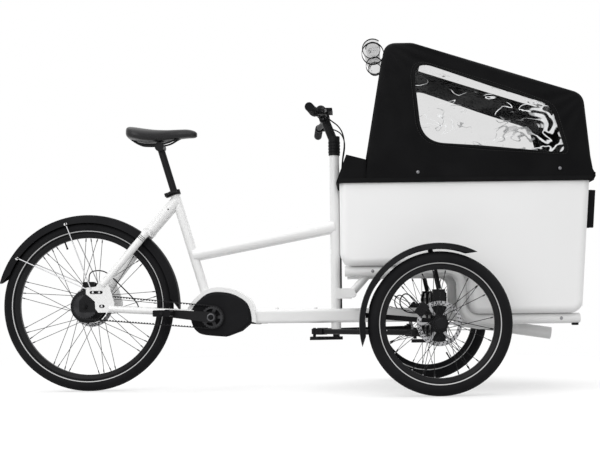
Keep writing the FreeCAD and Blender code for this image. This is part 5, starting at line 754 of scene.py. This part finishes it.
# rear curtain in one clear roll, loose at its right end and tight at its left, with dark bound ends;
# right and left: middle, radius and pitch there
rollSet = dict(
    right=(1.107, 1.262, 0.041, 0.012), left=(1.122, 1.279, 0.03, 0.005), half=0.205, turns=1.35, start=0.9,
    inset=0.002, steps=150, rows=42, film=0.0006, edge=0.008, edgeRise=0.0008, edgeRows=4, edgeWall=0.0024,
    strapPlaces=(-0.125, 0.125), strapWidth=0.018, strapGap=0.0012, strapWall=0.0016, hang=(1.1455, 1.268, 0.004),
    flat=(0.26, 0.41))


def rollAt(c, y):
    # middle, radius and pitch of the roll, even from its right end to its left
    part = (y + c["half"]) / (2 * c["half"])
    return [a + (b - a) * part for a, b in zip(c["right"], c["left"])]


def rollShape(c, low, high, rows, rise=0.0):
    # a spiral whose radius falls evenly with its turn, carried across the hood with slight waves
    t = np.linspace(0, 1, c["steps"])[None]
    y = np.linspace(low, high, rows)[:, None]
    x, z, radius, pitch = rollAt(c, y)
    ease = 1 + 0.03 * np.sin(y * 31) * np.sin(y * 13 + 1)
    a = 2 * math.pi * c["turns"] * t + c["start"]
    r = (radius + rise - c["inset"] - pitch * c["turns"] * t) * np.minimum(ease, 1.0)
    return gridShape(stacked(x + r * np.cos(a), y, z + r * np.sin(a)))


def strapShape(c, y):
    # a band round the roll and up to the hood: the outline of two circles and their outer tangents
    bx, bz, br = rollAt(c, y)[:3]
    sx, sz, sr = c["hang"]
    br, sr = br + c["strapGap"], sr + c["strapGap"]
    line = math.atan2(sz - bz, sx - bx)
    lean = math.acos(min((br - sr) / math.hypot(sx - bx, sz - bz), 1))
    a = np.linspace(line + lean, line + 2 * math.pi - lean, 40)
    e = np.linspace(line - lean, line + lean, 24)
    x = np.concatenate([bx + br * np.cos(a), sx + sr * np.cos(e)])
    z = np.concatenate([bz + br * np.sin(a), sz + sr * np.sin(e)])
    w = np.linspace(-0.5, 0.5, 5)[:, None] * c["strapWidth"]
    return gridShape(stacked(x, y + w, z), False, True)


half, inner = rollSet["half"], rollSet["half"] - rollSet["edge"]
curtain = makePiece("curtainRoll", rollShape(rollSet, -half, half, rollSet["rows"]), "frame", clearFilm,
                    outward=False)
edges = [rollShape(rollSet, low, high, rollSet["edgeRows"], rollSet["edgeRise"])
         for low, high in ((-half, -inner), (inner, half))]
binding = makePiece("curtainBinding", joined(edges), "frame", hoodFabric, outward=False)
thicken(curtain, rollSet["film"], 0)
thicken(binding, rollSet["edgeWall"], 0)
sideMap(binding)
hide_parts("rolled_curtain")
straps = makePiece("curtainStraps", joined([strapShape(rollSet, y) for y in rollSet["strapPlaces"]]), "frame",
                   hoodFabric)
sideMap(straps)
thicken(straps, rollSet["strapWall"], 1)

# saddle: cross-sections from the rear to the nose, measured from the rear axle's foot
saddleSet = dict(
    x=(0.1585, 0.163, 0.175, 0.2, 0.235, 0.27, 0.31, 0.35, 0.39, 0.415, 0.4255),
    half=(0.03, 0.056, 0.074, 0.083, 0.076, 0.056, 0.035, 0.026, 0.0225, 0.019, 0.009),
    top=(1.01, 1.0165, 1.0185, 1.0155, 1.0105, 1.0075, 1.0075, 1.0085, 1.0085, 1.003, 0.996),
    skirt=(0.994, 0.984, 0.976, 0.969, 0.963, 0.965, 0.971, 0.979, 0.983, 0.984, 0.988), rows=90, columns=56,
    groove=0.004, grooveHalf=0.012, grooveX=0.26, grooveLong=0.07, crown=0.62, squareness=0.8, tuck=0.93, belly=0.008)
railSet = dict(
    y=0.022, noseX=0.33, noseShare=0.55, radius=0.0035,
    route=((0.178, 0.968), (0.196, 0.958), (0.222, 0.95), (0.285, 0.95), (0.318, 0.956), (0.352, 0.972),
        (0.372, 0.981)))


def saddleShape(c):
    # each section is half a flattened round on top, drawn in below to the shell's edge
    table = curveThrough(np.stack([c["x"], c["half"], c["top"], c["skirt"]], -1), c["rows"])
    x, half, top, skirt = table.T[:, :, None]
    a = np.linspace(-math.pi, math.pi, c["columns"], endpoint=False)[None]
    upper = np.abs(a) <= math.pi / 2
    wide = np.sign(np.sin(a)) * np.abs(np.sin(a)) ** c["squareness"]
    y = half * wide * np.where(upper, 1.0, c["tuck"])
    groove = np.exp(-(y / c["grooveHalf"]) ** 2) * np.exp(-((x - c["grooveX"]) / c["grooveLong"]) ** 2) * c["groove"]
    crown = skirt + (top - skirt) * np.abs(np.cos(a)) ** c["crown"] - groove
    return tubeShape(stacked(x, y, np.where(upper, crown, skirt - c["belly"] * np.abs(np.cos(a)))))


saddle = makePiece("saddlePad", saddleShape(saddleSet), "seat", saddleCover)
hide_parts("saddle")
rails = []
for side in (1, -1):
    points = [fromAxle(x, side * railSet["y"] * (1 if x < railSet["noseX"] else railSet["noseShare"]), z)
              for x, z in railSet["route"]]
    rails.append(sweepShape(curveThrough(points, 40), circleOf(railSet["radius"], 12), (0, 1, 0)))
makePiece("saddleRails", joined(rails), "seat", satinBlack)

# cushions: crowned pads, drawn in between their corners, with sewn channels
cushionSet = dict(
    seat=dict(low=(1.0323, -0.255, 0.4693), high=(1.3323, 0.255, 0.5153), up=2),
    back=dict(low=(0.9873, -0.255, 0.5213), high=(1.0233, 0.255, 0.7213), up=0),
    channels=5, crown=0.3, pull=0.012, sew=0.0099, sewWidth=0.004, steps=60)


def cushionShape(c, rules):
    # a pillow: its thickness falls to a seam all round, and rows of stitching draw it in across
    low, high = fromAxle(*c["low"]), fromAxle(*c["high"])
    axis = c["up"]
    first, second = [k for k in range(3) if k != axis]
    half = (high - low) / 2
    steps = np.sin(np.linspace(-1, 1, rules["steps"]) * math.pi / 2)
    u, v = steps[:, None], steps[None]
    full = np.clip((1 - np.abs(u) ** 6) * (1 - np.abs(v) ** 6), 0, 1) ** rules["crown"]
    wide = u if half[first] > half[second] else v
    channel = np.abs(((wide + 1) * rules["channels"] / 2) % 1 - 0.5) - 0.5
    seams = rules["sew"] * np.exp(-channel ** 2 / rules["sewWidth"])
    sheets = []
    for way, rise in ((1, full * half[axis] - seams * full), (-1, full * half[axis])):
        grid = np.empty(full.shape + (3,))
        grid[..., first] = u * (half[first] - rules["pull"] * (1 - v ** 2) * np.abs(u) ** 3)
        grid[..., second] = v * (half[second] - rules["pull"] * (1 - u ** 2) * np.abs(v) ** 3)
        grid[..., axis] = way * rise
        sheets.append(gridShape(grid + (low + high) / 2))
    return joined(sheets)


for tag, c in (("seat", cushionSet["seat"]), ("back", cushionSet["back"])):
    pad = makePiece(tag + "Cushion", cushionShape(c, cushionSet), "frame", cushionCloth)
    sideMap(pad)
    if tag == "seat":
        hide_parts("bench_cushions")
print("soft pieces made")


# small fittings, each a profile turned about its own line or a sweep
def ringShape(centre, axis, profile, count=48):
    # the profile's (radius, place along axis) turned about the line through centre
    axis = unit(np.asarray(axis, float))
    first = unit(np.cross(axis, (1, 0, 0) if abs(axis[0]) < 0.9 else (0, 1, 0)))
    second = np.cross(axis, first)
    a = np.arange(count)[:, None, None] * 2 * math.pi / count
    r, s = np.asarray(profile, float)[None, :, :1], np.asarray(profile, float)[None, :, 1:]
    return gridShape(centre + r * (np.cos(a) * first + np.sin(a) * second) + s * axis, True, True)


def headShape(x, y, z, side, head):
    # a bolt head or snap that looks outward: a short wall under a quarter-elliptic crown
    radius, height, crown, count = head
    sunk = 0.001
    a = np.linspace(0, math.pi / 2, 6)
    top = np.stack([radius * np.cos(a), height * (1 - crown) + height * crown * np.sin(a)], -1)
    profile = np.concatenate([[(0, -sunk), (radius, -sunk)], top])
    return ringShape(fromAxle(x, side * y, z), (0, side, 0), profile, count)


def softened(points, rounds=4):
    # corner cutting: each span keeps its quarter and three-quarter points, the ends stay
    p = np.asarray(points, float)
    for _ in range(rounds):
        cut = np.stack([0.75 * p[:-1] + 0.25 * p[1:], 0.25 * p[:-1] + 0.75 * p[1:]], 1).reshape(-1, 3)
        p = np.concatenate([p[:1], cut, p[-1:]])
    return p


# hoses: from the brake levers into the frame, from the rear caliper over the left leg down to the chain stay,
# and in a loop behind each front wheel back to the knuckle's ear
leverHose = dict(
    radius=0.0025, length=0.82, columnX=0.957, blend=(0.86, 1.03),
    route=((0.9188, 0.1499, 1.0377), (0.9188, 0.1299, 1.0377), (1.008, 0.04, 0.985), (0.9784, 0.004, 0.83),
        (0.9784, 0.004, 0.3083)))
rearHose = dict(
    radius=0.0023, length=0.3,
    route=((-0.012, 0.044, 0.42), (-0.01, 0.045, 0.462), (0.024, 0.047, 0.47), (0.058, 0.047, 0.462),
        (0.1, 0.048, 0.42), (0.172, 0.053, 0.345), (0.18, 0.058, 0.318)))
frontHose = dict(
    radius=0.0023, length=0.21,
    route=((1.262, 0.371, 0.311), (1.246, 0.371, 0.338), (1.214, 0.368, 0.366), (1.19, 0.362, 0.338),
        (1.202, 0.358, 0.3), (1.24, 0.356, 0.29), (1.275, 0.356, 0.292)))


def makeHose(name, c, side, up, body):
    path = softened([fromAxle(x, side * y, z) for x, y, z in c["route"]])
    hose = makePiece(name, sweepShape(path, circleOf(c["radius"], 14), up), body, rubberBlack)
    return hose


# the lever hoses belong to no body and are baked where they lie
for tag, side in bothSides:
    hose = makeHose(tag + "BrakeHose", leverHose, side, (1, 0, 0), None)
    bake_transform(hose)
    if tag == "right":
        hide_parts("control_cables")
makeHose("rearCaliperHose", rearHose, 1, (0, 1, 0), "frame")
for tag, side in bothSides:
    makeHose(tag + "CaliperHose", frontHose, side, (0, 1, 0), tag + "_knuckle")
print("hoses made")

# binding and stitches round the hood's side windows, binding along the hem, press studs
trimSet = dict(
    inside=-0.005, width=0.012, slope=0.0015, rise=0.0015, foot=-0.0022, stitchAway=0.011, stitchLong=0.0046,
    stitchGap=0.0042, stitchHalf=0.0007, stitchRise=0.0003, hemFrom=0.984, hemTo=1.897, hemZ=0.7712,
    hemHalf=(0.0008, 0.008), hemAway=0.0012, hemWave=0.0006, studs=((1.267, 0.799), (1.78, 0.807)), studIn=0.001,
    studHead=(0.0062, 0.0042, 0.6, 48))
stitchThread = ownFinish("stitchThread", "rubberBlack", dark=(0.03, 0.03, 0.03), light=(0.06, 0.06, 0.06))
studNickel = steelOf("studNickel", (0.14, 0.14, 0.15), (0.26, 0.26, 0.27))


def windowBand(c, t, side):
    # four lines round the window: inner foot, inner top, outer top and outer foot
    away = t["inside"] + np.array([0, t["slope"], t["width"] - t["slope"], t["width"]])[:, None]
    rise = np.array([t["foot"], t["rise"], t["rise"], t["foot"]])[:, None]
    x, z = onRays(c, windowFar + away)
    return gridShape(stacked(x, side * (halfAt(z, c) + rise), z), True, True)


def stitchRow(path, out, t):
    # short flat blocks laid end to end along a closed line, by its length
    closed = np.concatenate([path, path[:1]])
    total = np.concatenate([[0], np.cumsum(np.linalg.norm(np.diff(closed, axis=0), axis=1))])
    count = int(total[-1] / (t["stitchLong"] + t["stitchGap"]))
    start = np.arange(count) * total[-1] / count
    a, b = (np.stack([np.interp(s, total, closed[:, k]) for k in range(3)], -1)
            for s in (start, start + t["stitchLong"]))
    across = unit(np.cross(b - a, out)) * t["stitchHalf"]
    lift = np.asarray(out, float) * t["stitchHalf"]
    corners = np.stack([end + move for end in (a, b)
                        for move in (-across - lift, across - lift, across + lift, lift - across)], 1)
    block = np.array([(0, 1, 2, 3), (7, 6, 5, 4), (0, 4, 5, 1), (1, 5, 6, 2), (2, 6, 7, 3), (3, 7, 4, 0)])
    faces = (np.arange(count)[:, None, None] * 8 + block[None]).reshape(-1, 4)
    return corners.reshape(-1, 3), faces.tolist()


def stitchLine(c, t, side):
    reach = windowFar + t["stitchAway"]
    x, z = onRays(c, reach)
    return stacked(x, side * (wrinkledHalf(x, z, reach, c) + t["stitchRise"]), z)


for tag, side in bothSides:
    band = makePiece(tag + "WindowBinding", windowBand(hoodSet, trimSet, side), "frame", trimFabric)
    sideMap(band)
    stitches = stitchRow(stitchLine(hoodSet, trimSet, side), (0, side, 0), trimSet)
    makePiece(tag + "WindowStitches", stitches, "frame", stitchThread, smooth=False)
    x = np.linspace(trimSet["hemFrom"], trimSet["hemTo"], 60)
    y = hoodSet["lowHalf"] + trimSet["hemAway"] + trimSet["hemWave"] * hemWave(x)
    hem = makePiece(tag + "HemBinding", sweepShape(stacked(x, side * y, trimSet["hemZ"]), oblong(*trimSet["hemHalf"])),
                    "frame", trimFabric)
    sideMap(hem)
    creaseSmooth(hem)
    studs = [headShape(x, hoodSet["lowHalf"] - trimSet["studIn"], z, side, trimSet["studHead"])
             for x, z in trimSet["studs"]]
    makePiece(tag + "PressStuds", joined(studs), "frame", studNickel)
print("hood trim made")

# valve stems through the rims, a nut at the foot and a cap at the end
valveSet = dict(
    sunk=0.004, profile=((0, 0), (0.0055, 0), (0.0055, 0.008), (0.003, 0.009), (0.003, 0.036), (0.00375, 0.037),
        (0.00375, 0.042), (0, 0.043)))
for tag, c in wheelSet.items():
    angle = math.radians(c["valve"])
    inward = np.array([-math.cos(angle), 0, -math.sin(angle)])
    foot = np.array(middleOf(tag + "_tyre")) - inward * (c["rim"] + valveSet["sunk"])
    stem = ringShape(foot, inward, valveSet["profile"], 24)
    creaseSmooth(makePiece(tag + "ValveStem", stem, c["body"], rubberBlack))

# frame fittings: clips where the fender's stays end, rings on the legs and a plug on the mono stay, bolts, feet;
# each head is radius, height, share of crown and count of sides
fittingSet = dict(
    clipAngles=(104, 145), clipReach=0.3265, clipY=0.03, clipHead=(0.0062, 0.0065, 0.6, 24),
    plug=(0.314888, 0.022, 0.698756), plugHead=(0.0034, 0.0022, 0.6, 20), legTop=(0.2372, 0.049, 0.6107),
    legEnd=(0.07, 0.071, 0.408), legRings=(0.024, 0.0305, 0.037),
    legBand=((0.0135, -0.0009), (0.0152, -0.0009), (0.0152, 0.0009), (0.0135, 0.0009)),
    railBolts=((1.099, 0.4446), (1.785, 0.2646)), railY=0.242, railHead=(0.0062, 0.0042, 0.5, 28),
    slotBolts=((0.035, 0.381), (0.059, 0.381), (0.068, 0.328)), slotY=0.0772, slotHead=(0.004, 0.002, 0.5, 20),
    foot=(1.838, 0.225, 0.2456), footLow=(-0.012, -0.009, -0.007), footHigh=(0.012, 0.009, 0.002))


def makeFittings(c):
    clips, rings, railBolts, slotBolts, feet = [], [], [], [], []
    for side in (-1, 1):
        start, end = (fromAxle(x, side * y, z) for x, y, z in (c["legTop"], c["legEnd"]))
        along = unit(end - start)
        rings += [ringShape(start + along * s, along, c["legBand"]) for s in c["legRings"]]
        rings.append(headShape(*c["plug"], side, c["plugHead"]))
        for a in np.radians(c["clipAngles"]):
            x, z = c["clipReach"] * math.cos(a), rearAxle.z + c["clipReach"] * math.sin(a)
            clips.append(headShape(x, c["clipY"], z, side, c["clipHead"]))
        railBolts += [headShape(x, c["railY"], z, side, c["railHead"]) for x, z in c["railBolts"]]
        slotBolts += [headShape(x, c["slotY"], z, side, c["slotHead"]) for x, z in c["slotBolts"]]
        foot = fromAxle(*c["foot"]) * (1, side, 1)
        feet.append(blockShape(foot + c["footLow"], foot + c["footHigh"]))
    boltGrey = steelOf("boltGrey", (0.2, 0.2, 0.21), (0.32, 0.32, 0.33))
    pieces = (("stayClips", clips, whiteMoulding, "box_white"), ("stayRings", rings, mouldedBlack, "black_plastic"),
              ("railBolts", railBolts, boltGrey, "steel"), ("slotBolts", slotBolts, bareSteel, "steel"),
              ("railFeet", feet, rubberBlack, "rubber"))
    for name, shapes, material, slot in pieces:
        makePiece(name, joined(shapes), "frame", material)


makeFittings(fittingSet)

# steering: spacer rings on the stem
stemSet = dict(
    x=0.957, rings=(0.914, 0.926, 0.938, 0.95),
    band=((0.021, -0.003), (0.0232, -0.0026), (0.0232, 0.0026), (0.021, 0.003)))
stemRings = [ringShape(fromAxle(stemSet["x"], 0, z), (0, 0, 1), stemSet["band"], 64) for z in stemSet["rings"]]
creaseSmooth(makePiece("stemRings", joined(stemRings), "steering", mouldedBlack))

# front: a grip on the latch's bar, and a strap with its buckle at each lower corner of the hood
frontSet = dict(
    grip=((1.9055, -0.186, 0.5975), (1.9145, -0.186, 0.7352)), gripHalf=(0.0105, 0.0125), gripRound=0.004,
    strapY=0.236, strapHalf=(0.0009, 0.009),
    strapLine=((1.899, 0.812), (1.9075, 0.803), (1.912, 0.79), (1.9125, 0.778), (1.9085, 0.77), (1.903, 0.7665)),
    buckle=((1.9085, -0.0115, 0.778), (1.916, 0.0115, 0.797)))
outline = roundedOutline(oblong(*frontSet["gripHalf"]), (frontSet["gripRound"],) * 4)
path = np.linspace(*(fromAxle(*end) for end in frontSet["grip"]), 12)
creaseSmooth(makePiece("latchGrip", sweepShape(path, outline, (0, 1, 0)), "latch", mouldedBlack))
straps, buckles = [], []
for side in (-1, 1):
    y = side * frontSet["strapY"]
    path = curveThrough([fromAxle(x, y, z) for x, z in frontSet["strapLine"]], 30)
    straps.append(sweepShape(path, oblong(*frontSet["strapHalf"]), (0, 1, 0)))
    buckles.append(blockShape(*(fromAxle(*corner) + (0, y, 0) for corner in frontSet["buckle"])))
strap = makePiece("hoodStraps", joined(straps), "frame", trimFabric)
sideMap(strap)
creaseSmooth(strap)
makePiece("hoodBuckles", joined(buckles), "frame", mouldedBlack)

# crank: a dust ring and a bolt on the outside of each arm
crankSet = dict(
    place=(0.484, 0.088, 0.281), bolt=(0.0075, 0.003, 0.5, 24),
    ring=((0.0095, -0.001), (0.015, -0.001), (0.015, 0.0012), (0.0138, 0.0022), (0.0105, 0.0022), (0.0095, 0.0012)))
x, y, z = crankSet["place"]
dust = [ringShape(fromAxle(x, side * y, z), (0, side, 0), crankSet["ring"]) for side in (-1, 1)]
bolts = [headShape(x, y, z, side, crankSet["bolt"]) for side in (-1, 1)]
dustGrey = steelOf("dustGrey", (0.07, 0.07, 0.075), (0.13, 0.13, 0.135))
creaseSmooth(makePiece("crankRings", joined(dust), "crank", dustGrey))
makePiece("crankBolts", joined(bolts), "crank", mouldedBlack)
print("fittings made")
